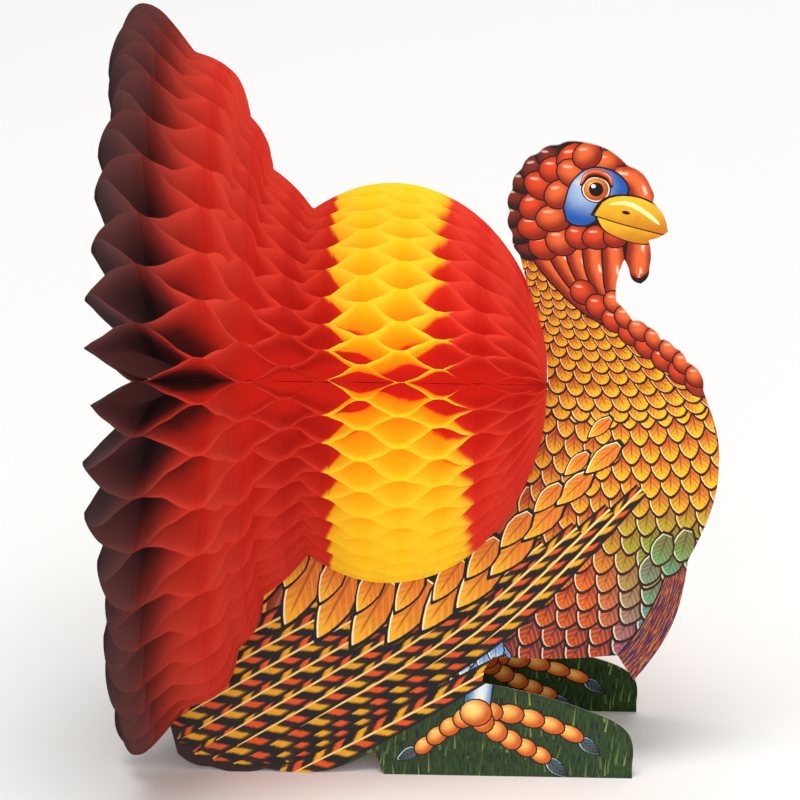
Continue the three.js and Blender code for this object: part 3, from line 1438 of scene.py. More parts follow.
@dataclass
class Wing:
    """Long barred flight feathers and two ranks of coverts over their roots."""

    feathers: int = 9
    roots: Places = ((38, -41), (10, -58), (-34, -76), (-74, -78))
    elbows: Places = ((-22, -101), (-46, -106), (-80, -104), (-112, -98))
    tips: Places = ((-108, -152), (-128, -153), (-146, -145), (-154, -122))
    lowest: Places = ((-14, -110), (-58, -135), (-106, -160))
    steps: int = 30
    root_share: float = 0.5
    vane_taper: Taper = (5.7, 0.8, 0.25, 0.12)
    shaft_taper: Taper = (0.45, 1.0, 0.4, 0.6)
    edge: float = 0.7
    ranks: tuple[Rank, ...] = (
        Rank(((-104, -60), (-80, -72), (-50, -77), (-18, -66), (10, -42), (30, -22)), 11, 36.0, 15.5),
        Rank(((-96, -62), (-68, -72), (-36, -70), (-8, -52), (14, -30), (26, -12)), 10, 24.0, 11.0),
    )
    covert_angle: float = -112.0
    covert_turn: float = -26.0
    covert_shrink: float = 0.42
    dark: Colour = paint("0E0A08")
    shaft: Colour = paint("F2CF78")
    amber: Colour = paint("F5A21E")
    rust: Colour = paint("D2601A")
    pale: Colour = paint("FFC928")

    def draw(self, art: Artwork) -> None:
        """Prints the flight feathers from the lowest up, then the coverts.

        Args:
            art: the shapes to add to.
        """
        stations = [along_curve(line, self.feathers) for line in (self.roots, self.elbows, self.tips)]
        spread = np.linspace(self.root_share, 1.0, self.steps)
        widths = spread * taper(self.steps, *self.vane_taper)
        shaft_widths = taper(self.steps - 2, *self.shaft_taper)
        for path in (self.lowest, *zip(*stations)):
            shaft = along_curve(path, self.steps)
            art.strip(shaft, widths + self.edge, Ink.LINE, self.dark, self.dark)
            art.strip(shaft, widths, Ink.BARRED, self.dark, self.dark)
            art.strip(shaft[:-2], shaft_widths, Ink.LINE, self.shaft, self.shaft)
        for rank in self.ranks:
            self._rank(art, rank)

    def _rank(self, art: Artwork, rank: Rank) -> None:
        """Prints one rank of coverts, smaller towards the breast.

        Args:
            art: the shapes to add to.
            rank: the rank.
        """
        plume = Plume(mixed(self.rust, self.amber, 0.25), mixed(self.amber, self.pale, 0.6), self.dark)
        for k, root in enumerate(along_curve(rank.roots, rank.count)):
            t = k / (rank.count - 1)
            angle = self.covert_angle + self.covert_turn * t
            size = 1.0 - self.covert_shrink * eased(0.5, 1.0, t)
            art.feather(root, angle, rank.length * size, rank.width * size, FeatherCut.LEAF, plume)


@dataclass(frozen=True)
class Toe:
    """One toe: its middle line, its thickness at the root and its number of scutes."""

    path: Places
    size: float
    scutes: int


@dataclass
class Foot:
    """Shank, toes and claws on a grassy foot."""

    orange: Colour = paint("F08C1C")
    pale: Colour = paint("FFD873")
    shade: Colour = paint("C8581A")
    claw: Plume = Plume(paint("2C4654"), paint("0F1B22"), paint("0C0E10"), paint("CFE6EE"))
    toes: tuple[Toe, ...] = (
        Toe(((-26, -131), (-10, -132), (6, -137), (15, -141)), 4.9, 5),
        Toe(((-27, -133), (-17, -140), (-7, -145), (2, -149.5)), 5.2, 5),
        Toe(((-29, -132), (-37, -137), (-44, -142), (-50, -147)), 4.6, 4),
    )
    scute_shrink: float = 0.07
    scute_height: float = 0.82
    scute_overlap: float = 1.1
    scute_edge: float = 0.6
    scute_light: float = 0.55
    claw_root: float = 1.5
    claw_hook: float = 14.0
    claw_size: Span = (2.5, 1.25)
    knuckle: Span = (-27, -131.5)
    knuckle_half: Span = (6.2, 5.2)
    shank: Places = ((-24, -102), (-25, -116), (-27, -131))
    shank_steps: int = 14
    shank_halves: Span = (4.6, 5.1)
    shank_edges: Span = (5.4, 5.8)
    shank_line: Colour = paint("101418")
    shank_rim: Colour = paint("3E78A8")
    shank_crest: Colour = paint("DCE6EA")
    down: Plume = Plume(paint("4C86C0"), paint("DCE6EA"), paint("14202C"), paint("FFFFFF"))
    tuft: Sprigs = ((-31, -104, -98), (-17, -104, -84), (-24, -102, -90), (-28, -99, -95), (-20, -99, -86))
    tuft_size: Span = (15.0, 8.0)
    turf: Colour = paint("1B2A14")
    turf_edge: Places = ((-82, -161), (46, -161), (46, -119), (-30, -119), (-82, -128))
    blades: int = 170
    blade_seed: int = 11
    blade_x: Span = (-74, 40)
    blade_y: Span = (-160, -128)
    blade_lean: Span = (-1.6, 2.4)
    blade_length: Span = (5, 11)
    blade_half: Span = (0.3, 0.6)
    greens: tuple[Colour, ...] = (paint("2E4A1C"), paint("4C6A28"), paint("162210"), paint("6E8438"))

    def draw(self, art: Artwork) -> None:
        """Prints the grass, toes and shank, and the down where the shank begins.

        Args:
            art: the shapes to add to.
        """
        self._grass(art)
        for toe in self.toes:
            self._toe(art, toe)
        shank = along_curve(self.shank, self.shank_steps)
        edges = np.linspace(*self.shank_edges, self.shank_steps)
        halves = np.linspace(*self.shank_halves, self.shank_steps)
        art.strip(shank, edges, Ink.LINE, self.shank_line, self.shank_line)
        art.strip(shank, halves, Ink.FOLD, self.shank_rim, self.shank_crest)
        art.lump(self.knuckle, *self.knuckle_half, 0, self.shade, self.pale)
        for x, y, angle in self.tuft:
            art.feather(np.array([x, y], float), angle, *self.tuft_size, FeatherCut.LEAF, self.down)

    def _grass(self, art: Artwork) -> None:
        """Prints the turf and the blades that stand out from it.

        Args:
            art: the shapes to add to.
        """
        art.ground(np.array(self.turf_edge, float), Ink.TURF, self.turf)
        rng = np.random.default_rng(self.blade_seed)
        for _ in range(self.blades):
            foot = np.array([rng.uniform(*self.blade_x), rng.uniform(*self.blade_y)])
            tip = foot + [rng.uniform(*self.blade_lean), rng.uniform(*self.blade_length)]
            wide = np.array([rng.uniform(*self.blade_half), 0.0])
            green = self.greens[int(rng.integers(len(self.greens)))]
            art.line(np.array([foot - wide, foot + wide, tip]), green)

    def _toe(self, art: Artwork, toe: Toe) -> None:
        """Prints one toe, claw first, then its scutes from the tip back.

        Args:
            art: the shapes to add to.
            toe: the toe.
        """
        line = along_curve(toe.path, toe.scutes + 1)
        steps = np.diff(line, axis=0)
        angle = heading(steps[-1])
        root = line[-1] - turned(angle) * self.claw_root
        length, width = (toe.size * share for share in self.claw_size)
        art.feather(root, angle - self.claw_hook, length, width, FeatherCut.LEAF, self.claw)
        colours = self.shade, mixed(self.orange, self.pale, self.scute_light), self.claw.line
        for k in reversed(range(toe.scutes)):
            middle = (line[k] + line[k + 1]) / 2
            half = float(np.linalg.norm(steps[k])) / 2 + self.scute_overlap
            tall = toe.size * (1.0 - self.scute_shrink * k) * self.scute_height
            art.lump(middle, half, tall, heading(steps[k]), *colours, self.scute_edge)


@dataclass
class TailPrint:
    """A fan of broad tail feathers on the part of the board that backs the tissue."""

    board: Places = ((-190, -170), (90, -170), (90, 110), (-190, 110))
    feathers: int = 9
    hub: Span = (-92.0, -14.0)
    first_angle: float = -176.0
    spread: float = 78.0
    shortest: float = 92.0
    growth: float = 52.0
    width: float = 24.0
    plume: Plume = Plume(paint("7A2416"), paint("C8521C"), paint("3A1C16"), paint("F0B050"))
    ground: tuple[Colour, Colour] = (paint("5A1E10"), paint("2A100A"))
    body: tuple[Colour, Colour] = (paint("D8701C"), paint("B8401A"))
    body_middle: Span = (-63.0, 0.0)
    body_half: Span = (66.0, 81.0)
    body_edge: float = 0.012

    def draw(self, art: Artwork) -> None:
        """Prints the ground of the whole board, the fan, and the ground behind the body.

        Args:
            art: the shapes to add to.
        """
        art.patch(np.array(self.board, float), Ink.WASH, *self.ground)
        hub = np.array(self.hub)
        for k in range(self.feathers):
            t = k / (self.feathers - 1)
            angle = self.first_angle + self.spread * t
            length = self.shortest + self.growth * t
            art.feather(hub, angle, length, self.width, FeatherCut.PETAL, self.plume)
        body = art.oval(self.body_middle, *self.body_half, count=48)
        art.line(body + (body - self.body_middle) * self.body_edge, self.plume.line)
        art.patch(body, Ink.WASH, *self.body)


@dataclass
class Face:
    """Bare lumpy head with blue skin round the eye, a horn-coloured beak, a hanging snood and wattles."""

    red: Colour = paint("DE4820")
    bright: Colour = paint("EC6A34")
    brick: Colour = paint("8A2210")
    soot: Colour = paint("231413")
    nape: Colour = paint("7A2A1C")
    line: Colour = paint("200A07")
    skin_rim: Colour = paint("1F55A8")
    skin_crest: Colour = paint("A9C4E2")
    lid_line: Colour = paint("120A08")
    iris_rim: Colour = paint("B8501C")
    iris: Colour = paint("F0A24A")
    eye_white: Colour = paint("F4E4CC")
    pupil: Colour = paint("080606")
    glint: Colour = paint("FFFFFF")
    horn: Colour = paint("F2C22A")
    deep_horn: Colour = paint("C8761A")
    pale_horn: Colour = paint("FFF0A8")
    beak_edge: float = 1.1

    def draw(self, art: Artwork) -> None:
        """Prints the ground of the head, then its parts, back to front.

        Args:
            art: the shapes to add to.
        """
        neck = [(-16, 60), (-4, 54), (6, 43), (20, 30), (38, 17), (56, 3)]
        front = [(70, -2), (70, 20), (46, 40), (44, 70)]
        crown = [(40, 110), (-24, 110), (-24, 62)]
        art.line(np.vstack([along_curve(neck + front, 60), crown]), self.line)
        self._throat(art)
        self._wattles(art)
        self._skull(art)
        self._snood(art)
        self._skin(art)
        self._eye(art)
        self._beak(art)

    def _throat(self, art: Artwork) -> None:
        """Prints long folds of skin from the cheek down to the wattles.

        Args:
            art: the shapes to add to.
        """
        folds = (
            [(-8, 68), (-2, 54), (12, 38), (28, 26)],
            [(0, 66), (6, 52), (17, 38), (34, 25)],
            [(9, 64), (13, 50), (21, 38), (36, 26)],
            [(17, 62), (19, 49), (24, 39), (34, 29)],
            [(25, 62), (26, 50), (27, 41), (31, 33)],
        )
        for path in folds:
            line = along_curve(path, 18)
            art.strip(line, taper(18, 4.9, 0.8, 0.5, 0.3), Ink.LINE, self.line, self.line)
            art.strip(line, taper(18, 4.2, 0.8, 0.4, 0.3), Ink.FOLD, self.brick, self.bright)

    def _wattles(self, art: Artwork) -> None:
        """Prints two chains of beads along the front of the neck.

        Args:
            art: the shapes to add to.
        """
        inner = along_curve([(14, 39), (25, 29), (38, 18.5), (50, 9), (60, 1.5)], 8)
        outer = along_curve([(27, 35), (34, 26), (43, 20.5), (52, 13), (59.5, 5)], 7)
        for middle in inner:
            art.lump(middle, 5.6, 4.6, -40, self.brick, self.red, self.line)
        for k, middle in enumerate(outer):
            art.lump(middle, 5.4 - 0.1 * k, 4.3, -42, self.brick, self.bright, self.line)

    def _skull(self, art: Artwork) -> None:
        """Prints caruncles in rows from the nape to the crown.

        Args:
            art: the shapes to add to.
        """
        rows = (
            ([(-8, 57), (-13, 68), (-12.5, 79), (-8, 88), (0, 94.5)], 7, 5.4, self.soot, self.nape),
            ([(-2, 58), (-6, 68), (-5, 79), (0, 87), (8, 94), (18, 94.5)], 7, 6.2, self.brick, self.red),
            ([(5, 60), (2, 69), (4, 79), (10, 88), (19, 92)], 5, 6.4, self.brick, self.bright),
            ([(30, 88), (24, 92), (15, 95.5)], 3, 6.0, self.brick, self.bright),
            ([(12, 62), (20, 62), (27, 63)], 3, 5.6, self.brick, self.red),
        )
        for path, count, size, rim, crest in rows:
            for k, middle in enumerate(along_curve(path, count)):
                wide, tall = size * (1 + 0.12 * (k % 2)), size * 0.86
                art.lump(middle, wide, tall, 35 * (k % 3) - 30, rim, crest, self.line)

    def _skin(self, art: Artwork) -> None:
        """Prints blue bare skin round the eye and down the cheek.

        Args:
            art: the shapes to add to.
        """
        upper = [(6, 74), (9, 84), (16, 90), (25, 89), (31, 83)]
        lower = [(29, 77), (22, 72), (15, 67), (8, 68), (6, 74)]
        edge = along_curve(upper + lower, 30)[:-1]
        middle = edge.mean(0)
        edge = edge[::-1]
        art.line(edge + (edge - middle) * 0.06, self.line)
        skin = Shape(edge, Ink.LUMP, self.skin_rim, self.skin_crest, lambda p: (p - middle) / [13.0, 12.0])
        art.shapes.append(skin)

    def _eye(self, art: Artwork) -> None:
        """Prints a round calm eye.

        Args:
            art: the shapes to add to.
        """
        middle = (18.6, 81.6)
        art.line(art.oval(middle, 6.0, 5.6, count=22), self.lid_line)
        art.lump(middle, 5.0, 4.7, 0, self.iris_rim, self.iris, self.eye_white, 0.5)
        art.line(art.oval(middle, 2.9, 2.9, count=18), self.pupil)
        art.line(art.oval((17.5, 82.9), 0.95, 0.8, count=12), self.glint)
        lid = along_curve([(12.6, 83), (15, 87), (19, 88), (23.4, 86), (25, 82.4)], 14)
        art.strip(lid, taper(14, 1.5, 0.4, 0.2, 0.5), Ink.LINE, self.line, self.line)
        art.strip(lid + [0.0, 0.9], taper(14, 1.2, 0.4, 0.2, 0.5), Ink.FOLD, self.brick, self.bright)

    def _beak(self, art: Artwork) -> None:
        """Prints two halves of a closed beak, meeting in a straight line, and a nostril.

        Args:
            art: the shapes to add to.
        """
        lower = np.array([(19, 70.5), (22, 65.0), (30, 61), (39, 59.6), (47, 63.6), (33, 67)])
        upper = np.array([(18, 71), (33, 66.6), (50, 63.4), (46.5, 71.5), (38, 77.5), (29, 79), (22, 77)])
        for outline in (lower, upper):
            edge = along_curve(np.vstack([outline, outline[:1]]), 26)[:-1]
            middle = edge.mean(0)
            art.line(middle + (edge - middle) * self.beak_edge, self.line)
            art.patch(edge, Ink.WASH, self.horn, self.deep_horn)
        ridge = along_curve([(24, 75.6), (31, 76), (38, 72.4), (44, 67.4)], 12)
        art.strip(ridge, taper(12, 1.0, 0.3, 0.2, 0.5), Ink.LINE, self.pale_horn, self.pale_horn)
        art.line(art.oval((30.5, 72.2), 1.7, 0.75, -12, 12), self.line)

    def _snood(self, art: Artwork) -> None:
        """Prints the fleshy finger that hangs over the beak.

        Args:
            art: the shapes to add to.
        """
        path = along_curve([(26, 88), (33.5, 85.5), (37.4, 78), (36.6, 64), (35.6, 54), (35.6, 43.4)], 26)
        art.strip(path, taper(26, 5.6, 0.6, 0.3, 0.14), Ink.LINE, self.line, self.line)
        art.strip(path[:-1], taper(25, 4.8, 0.6, 0.25, 0.14), Ink.FOLD, self.brick, self.bright)


def drawn_artwork() -> Artwork:
    """Draws everything that is printed on the boards.

    Returns:
        The printed shapes.
    """
    art = Artwork()
    for part in (TailPrint(), Plumage(), Foot(), Wing(), Face()):
        part.draw(art)
    LOG.info("artwork: %d printed shapes", len(art.shapes))
    return art


# Boards


@dataclass
class Slab:
    """A flat piece of printed board: two printed faces and a bare cut edge."""

    name: str
    outline: Points
    front: Callable[[Points], Points]
    back: Callable[[Points], Points]
    mirrored: bool
    weld: float = 1e-4

    def build(self, art: Artwork) -> bpy.types.Object:
        """Cuts the artwork to the outline and makes the slab.

        Args:
            art: the printed shapes; the last one on top.

        Returns:
            The slab's object.
        """
        low, high = self.outline.min(0), self.outline.max(0)
        shapes = [s for s in art.shapes if (s.outline.max(0) > low).all() and (s.outline.min(0) < high).all()]
        flat, faces, top = self._parted(shapes)
        count = len(flat)
        front = faces[:, ::-1] if self.mirrored else faces
        walls = [(b, a, a + count, b + count) for a, b in open_edges(faces)]
        walls = [w[::-1] for w in walls] if self.mirrored else walls
        places = np.vstack([self.front(flat), self.back(flat)])
        piece = new_piece(self.name, places, front.tolist() + (front[:, ::-1] + count).tolist() + walls)
        self._colour(piece.data, shapes, flat, front, top, len(walls))
        return piece

    def _parted(self, shapes: list[Shape]) -> tuple[Points, Points, Points]:
        """Parts the outline into triangles, each under one topmost shape.

        Args:
            shapes: the printed shapes that reach the outline.

        Returns:
            Places in the plane, triangles, and each triangle's topmost shape, counted from 1.
        """
        places: list[Vector] = []
        faces: list[list[int]] = []
        edges: list[tuple[int, int]] = []

        def add(points: Points) -> range:
            """Adds places and gives their numbers."""
            places.extend(Vector(p) for p in points.tolist())
            return range(len(places) - len(points), len(places))

        for outline in (self.outline, *(s.outline for s in shapes)):
            x, y = outline.T
            turning = (x * np.roll(y, -1) - y * np.roll(x, -1)).sum()
            ring = list(add(outline))
            faces.append(ring if turning > 0 else ring[::-1])
        for rib in (r for s in shapes for r in s.ribs):
            run = add(rib)
            edges.extend(zip(run[:-1], run[1:]))
        made, _, tris, _, _, under = delaunay_2d_cdt(places, edges, faces, 1, self.weld)
        keep = [i for i, u in enumerate(under) if 0 in u]
        used, corners = np.unique([tris[i] for i in keep], return_inverse=True)
        flat = np.array([tuple(made[i]) for i in used])
        return flat, corners.reshape(-1, 3), np.array([max(under[i]) for i in keep])

    @staticmethod
    def _colour(
        mesh: bpy.types.Mesh, shapes: list[Shape], flat: Points, front: Points, top: Points, walls: int
    ) -> None:
        """Gives the faces their inks, colours and maps.

        Args:
            mesh: the slab's mesh: front faces, then back faces, then walls.
            shapes: the printed shapes.
            flat: places in the plane.
            front: the front's triangles.
            top: each front triangle's topmost shape, counted from 1.
            walls: how many four-sided wall faces follow.
        """
        for ink in Ink:
            mesh.materials.append(finish_of(PrintedCard(ink)))
        inks = np.zeros(len(top), int)
        colours = np.zeros((2, len(top), 3))
        maps = np.zeros((len(top), 3, 2))
        for number in np.unique(top[top > 0]):
            shape, chosen = shapes[number - 1], np.flatnonzero(top == number)
            inks[chosen] = shape.ink.value
            colours[0, chosen], colours[1, chosen] = shape.root[:3], shape.tip[:3]
            maps[chosen] = shape.locate(flat[front[chosen]].reshape(-1, 2)).reshape(-1, 3, 2)
        mesh.polygons.foreach_set("material_index", np.r_[inks, inks, np.zeros(walls, int)])
        for name, rows in zip(("root", "tip"), colours):
            layer = mesh.attributes.new(name, "FLOAT_VECTOR", "FACE")
            values = np.vstack([rows, rows, np.zeros((walls, 3))])
            layer.data.foreach_set("vector", values.astype(np.float32).ravel())
        corners = np.vstack([maps.reshape(-1, 2), maps[:, ::-1].reshape(-1, 2), np.zeros((walls * 4, 2))])
        mesh.uv_layers.new(name="print").uv.foreach_set("vector", corners.astype(np.float32).ravel())


@dataclass
class PrintedBoards:
    """One half's head board and side board, and the printed crease between them."""

    side: Side
    layout: Layout
    squeeze: float = 12.0
    crease_back: float = 0.1
    edge_slack: float = 0.01

    def build(self, art: Artwork) -> list[bpy.types.Object]:
        """Makes the three pieces and hangs the two boards on their bodies.

        Args:
            art: the printed shapes.

        Returns:
            The pieces.
        """
        word, layout = self.side.word, self.layout
        nodes = [f"{part}_board_{word}" for part in ("head", "side")]
        planes = [BoardPlane.read(node, self.side, layout.pole, layout.axis) for node in nodes]
        pieces = []
        for node, plane, body in zip(nodes, planes, ("head", f"{word}_side")):
            piece = self._board(node, plane, art)
            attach(piece, body)
            pieces.append(piece)
        pieces.append(self._crease(*planes, art))
        return pieces

    def _board(self, node: str, plane: BoardPlane, art: Artwork) -> bpy.types.Object:
        """Makes one board in place of its node, its back fitted to the node's shorter or longer back.

        Args:
            node: the board's node.
            plane: the board's plane.
            art: the printed shapes.

        Returns:
            The board's object.
        """
        outline = rounded(plane.front if self.side is Side.NEAR else plane.front[::-1])
        low, high = plane.front[:, 1].min(), plane.front[:, 1].max()
        ends = [low, low + self.squeeze, high - self.squeeze, high]
        back_ends = [plane.back[:, 1].min(), *ends[1:3], plane.back[:, 1].max()]

        def front(flat: Points) -> Points:
            """Places on the front."""
            return plane.place(flat, plane.front_at)

        def back(flat: Points) -> Points:
            """Places on the back."""
            fitted = np.stack([flat[:, 0], np.interp(flat[:, 1], ends, back_ends)], 1)
            return plane.place(fitted, plane.back_at)

        slab = Slab(f"printed_{node}", outline, front, back, self.side is Side.FAR)
        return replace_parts(slab.build(art), node)

    def _crease(self, head: BoardPlane, side: BoardPlane, art: Artwork) -> bpy.types.Object:
        """Makes the strip of board at the crease between the head and the breast.

        Args:
            head: the head board's plane.
            side: the side board's plane.
            art: the printed shapes.

        Returns:
            The strip's object.
        """
        above, below = head.front[:, 1].min(), side.front[:, 1].max()
        top_edge = head.front[np.abs(head.front[:, 1] - above) < self.edge_slack]
        x0, x1 = top_edge[:, 0].min(), top_edge[:, 0].max()
        outline = np.array([(x0, below), (x1, below), (x1, above), (x0, above)])
        ends = [
            plane.place(np.array([[0.0, y]]), plane.front_at)[0]
            for plane, y in ((head, above), (side, below))
        ]

        def at(flat: Points, inward: float) -> Points:
            """Places on the strip, set in from its front.

            Args:
                flat: x and y in the plane, one row each.
                inward: distance in from the front.

            Returns:
                The places in the frame, in millimetres.
            """
            share = ((above - flat[:, 1]) / (above - below))[:, None]
            place = ends[0] + (ends[1] - ends[0]) * share
            place[:, 0] += flat[:, 0]
            place[:, 1] += inward * self.side.value
            return place

        slab = Slab(
            f"crease_{self.side.word}",
            outline,
            lambda p: at(p, 0.0),
            lambda p: at(p, self.crease_back),
            self.side is Side.FAR,
        )
        piece = slab.build(art)
        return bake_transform(piece, "head", f"{self.side.word}_side", tuple(ends[0] * MM), tuple(ends[1] * MM))


# Tissue


@dataclass(frozen=True)
class Lobe:
    """One scallop of the tail's cut edge: where it ends, and its bow and lean."""

    at: float
    drop: float
    bow: float
    lean: float = 1.0


@dataclass
class TissueFan:
    """Pairs of tissue sheets, glued line by line into rows of cells and fanned about the axis."""

    layout: Layout
    seed: int = 4
    tail_radius: float = 150.6
    rear_drop: float = 20.6
    rear_edge: float = 10.0
    tip_length: float = 6.0
    binding_gap: float = 0.3
    least_reach: float = 0.4
    bites: Places = ((0, 1.0), (14, 1.4), (60, 1.4), (67, 0.3), (79, 0.3), (88, 1.4), (140, 1.4), (158, 1.0))
    leans: Places = ((105, 0.0), (125, 4.5), (150, 4.5), (165, 2.5))
    tuck: float = 5.0
    lobes: tuple[Lobe, ...] = (Lobe(31.0, 19.2, 20.0, 0.7), Lobe(52.5, 43.5, 6.7), Lobe(61.5, 64.5, 3.0))
    waist: float = -95.0
    waist_bow: float = 1.5
    body_radius: float = 80.0
    body_length: float = 126.0
    lobe_steps: int = 60
    body_steps: int = 160
    tail_cell: float = 22.0
    tail_cells: int = 2
    body_cell: float = 15.0
    glue_width: float = 3.0
    glue_end: float = -1.0
    glue_press: float = 0.04
    free_press: float = -0.25
    ripple: float = 0.55
    ripple_rate: float = 0.42
    ripple_chance: float = 3.1
    dye_shift: float = 0.6
    band_middle: float = 110.0
    drifts: Places = (
        (15, 7.0),
        (45, 5.5),
        (65, 2.5),
        (75, -1.0),
        (85, -6.0),
        (100, -6.0),
        (130, -3.5),
        (160, -3.0),
    )
    jitter: float = 0.13
    glued_jitter: float = 0.6
    roundness: float = 0.35
    column_step: float = 2.1
    least_step: float = 0.25
    pole_gap: float = 0.15
    folded_share: float = 0.021
    rows: tuple[float, ...] = (0.0, 0.2, 0.4, 0.58, 0.74, 0.87, 0.95, 1.0)

    def __post_init__(self) -> None:
        """Works out the cut edge, the glue lines and the columns of every sheet."""
        self.pitch = self.layout.fan / self.layout.pairs
        self.edge = self._cut_edge()
        self.lines = self._glue_lines()
        self.columns = self._columns()
        rng = np.random.default_rng(self.seed)
        shape = (2, self.layout.pairs + 1, len(self.lines))
        self.shift = rng.uniform(-1, 1, (2, *shape)) * self.jitter * self.pitch
        self.shift[:, :, 0] = 0.0
        self.shift[0, :, -1] = 0.0
        self.chance = rng.uniform(-1, 1, (2, self.layout.pairs, 2, 2))
        self.tucked = rng.uniform(0, 1, (2, self.layout.pairs)) ** 2 * self.tuck

    def _body(self, x: Points) -> Points:
        """Radius of the round body."""
        half = self.body_length / 2
        return self.body_radius * np.sqrt(np.clip(1 - ((x + half) / half) ** 2, 0, 1))

    def _cut_edge(self) -> Points:
        """Draws the edge that every sheet is cut to.

        Returns:
            Places of x and radius, from the rear to the pole.
        """
        rear = self.layout.rear
        corners = [np.array([rear, self.tail_radius - self.rear_drop])]
        stretches = []
        for lobe in self.lobes:
            corners.append(np.array([rear + lobe.at, self.tail_radius - lobe.drop]))
            stretches.append((lobe.bow, lobe.lean))
        corners.append(np.array([self.waist, float(self._body(np.array(self.waist)))]))
        stretches.append((self.waist_bow, 1.0))
        t = np.linspace(0, 1, self.lobe_steps)[:, None]
        runs = []
        for a, b, (bow, lean) in zip(corners, corners[1:], stretches):
            left = across(unit(b - a))
            runs.append((a + (b - a) * t + left * bow * np.sin(math.pi * t**lean))[:-1])
        swing = np.linspace(math.acos(1 + 2 * self.waist / self.body_length), 0.0, self.body_steps)
        half = self.body_length / 2
        body = np.stack([half * (np.cos(swing) - 1), self.body_radius * np.sin(swing)], 1)
        edge = np.vstack([*runs, body])
        return edge[np.argsort(edge[:, 0], kind="stable")]

    def _glue_lines(self) -> Points:
        """Spaces the glue lines along the axis; even ones join a pair, odd ones join pairs.

        Returns:
            Their places, from the rear to beyond the pole.
        """
        lines = [self.layout.rear]
        while lines[-1] < 0:
            lines.append(lines[-1] + (self.tail_cell if len(lines) <= self.tail_cells else self.body_cell))
        return np.array(lines)

    def _columns(self) -> Points:
        """Places columns of vertices along the axis: even steps of the cut edge, and the glue's borders.

        Returns:
            The columns' places, from the rear to the pole.
        """
        rear = self.layout.rear
        run = run_along(self.edge)
        x = np.interp(np.arange(0, run[-1], self.column_step), run, self.edge[:, 0])
        borders = (self.lines[:, None] + np.array([-0.5, 0.5]) * self.glue_width).ravel()
        x = np.sort(np.r_[x, borders[(borders > rear) & (borders < self.glue_end)]])
        x = x[(x >= rear) & (x < -self.pole_gap)]
        return x[np.r_[True, np.diff(x) > self.least_step]]

    def radius(self, x: Points) -> Points:
        """Radius of the cut edge at places along the axis."""
        return np.interp(x, self.edge[:, 0], self.edge[:, 1])

    def _inner(self, pair: int) -> Points:
        """Radius of a sheet's inner edge: a rounded rear tip, the straight cut, then the binding.

        Args:
            pair: the pair's number, from 0 at the top.

        Returns:
            One radius for each column.
        """
        x = self.columns - self.layout.rear
        top = self.tail_radius - self.rear_drop
        binding = self.layout.spine_radius + self.binding_gap
        bite = self.layout.hollow * np.interp(self._slope(pair), *zip(*self.bites))
        cut = np.interp(x, [0, bite], [top - self.rear_edge, binding])
        return cut + (self.rear_edge - 1) * np.clip(1 - x / self.tip_length, 0, 1) ** 2

    def _slope(self, pair: int) -> float:
        """Degrees from straight up to the middle of a pair."""
        return math.degrees((pair + 0.5) * self.pitch)

    def _tuck(self, side: Side, pair: int) -> Points:
        """How far a pair's rear tip is pushed forward, fading to nothing at the next glue line.

        Args:
            side: the half.
            pair: the pair's number, from 0 at the top.

        Returns:
            One length for each column.
        """
        push = self.tucked[side.number, pair] + np.interp(self._slope(pair), *zip(*self.leans))
        return push * np.clip(1 - (self.columns - self.layout.rear) / self.tail_cell, 0, 1) ** 1.5

    def _drift(self, pair: int) -> Points:
        """How far the front border of the yellow dye stands back on a pair, from none at the band's middle.

        Args:
            pair: the pair's number, from 0 at the top.

        Returns:
            One length for each column.
        """
        onset = (self.columns - self.layout.rear - self.band_middle) / self.body_cell
        return np.interp(self._slope(pair), *zip(*self.drifts)) * np.clip(onset, 0, 1)

    def _angles(self, side: Side, pair: int, sheet: int) -> Points:
        """Angle of a sheet from straight up at each column.

        Args:
            side: the half.
            pair: the pair's number, from 0 at the top.
            sheet: -1 for the upper sheet of the pair, 1 for the lower.

        Returns:
            Angles in radians.
        """
        even = np.arange(len(self.lines)) % 2 == 0
        bound = pair + (1 + sheet) // 2
        glued = (pair + 0.5) * self.pitch + self.shift[1, side.number, pair] * self.glued_jitter
        between = bound * self.pitch + self.shift[0, side.number, bound]
        at_line = np.where(even, glued, between)
        k, t = self._cell()
        t = t * (1 - self.roundness) + self.roundness * (3 * t**2 - 2 * t**3)
        return at_line[k] + (at_line[k + 1] - at_line[k]) * t

    def _cell(self) -> tuple[Points, Points]:
        """Finds each column's place in its cell.

        Returns:
            The glue line behind each column, and the share of the way from its glue to the next.
        """
        x = self.columns
        k = np.clip(np.searchsorted(self.lines, x, "right") - 1, 0, len(self.lines) - 2)
        inset = self.glue_width / 2
        span = self.lines[k + 1] - self.lines[k] - 2 * inset
        return k, np.clip((x - self.lines[k] - inset) / span, 0, 1)

    def build(self) -> list[bpy.types.Object]:
        """Makes every pair, riding its own leaf."""
        return [self._pair(side, i) for side in Side for i in range(self.layout.pairs)]

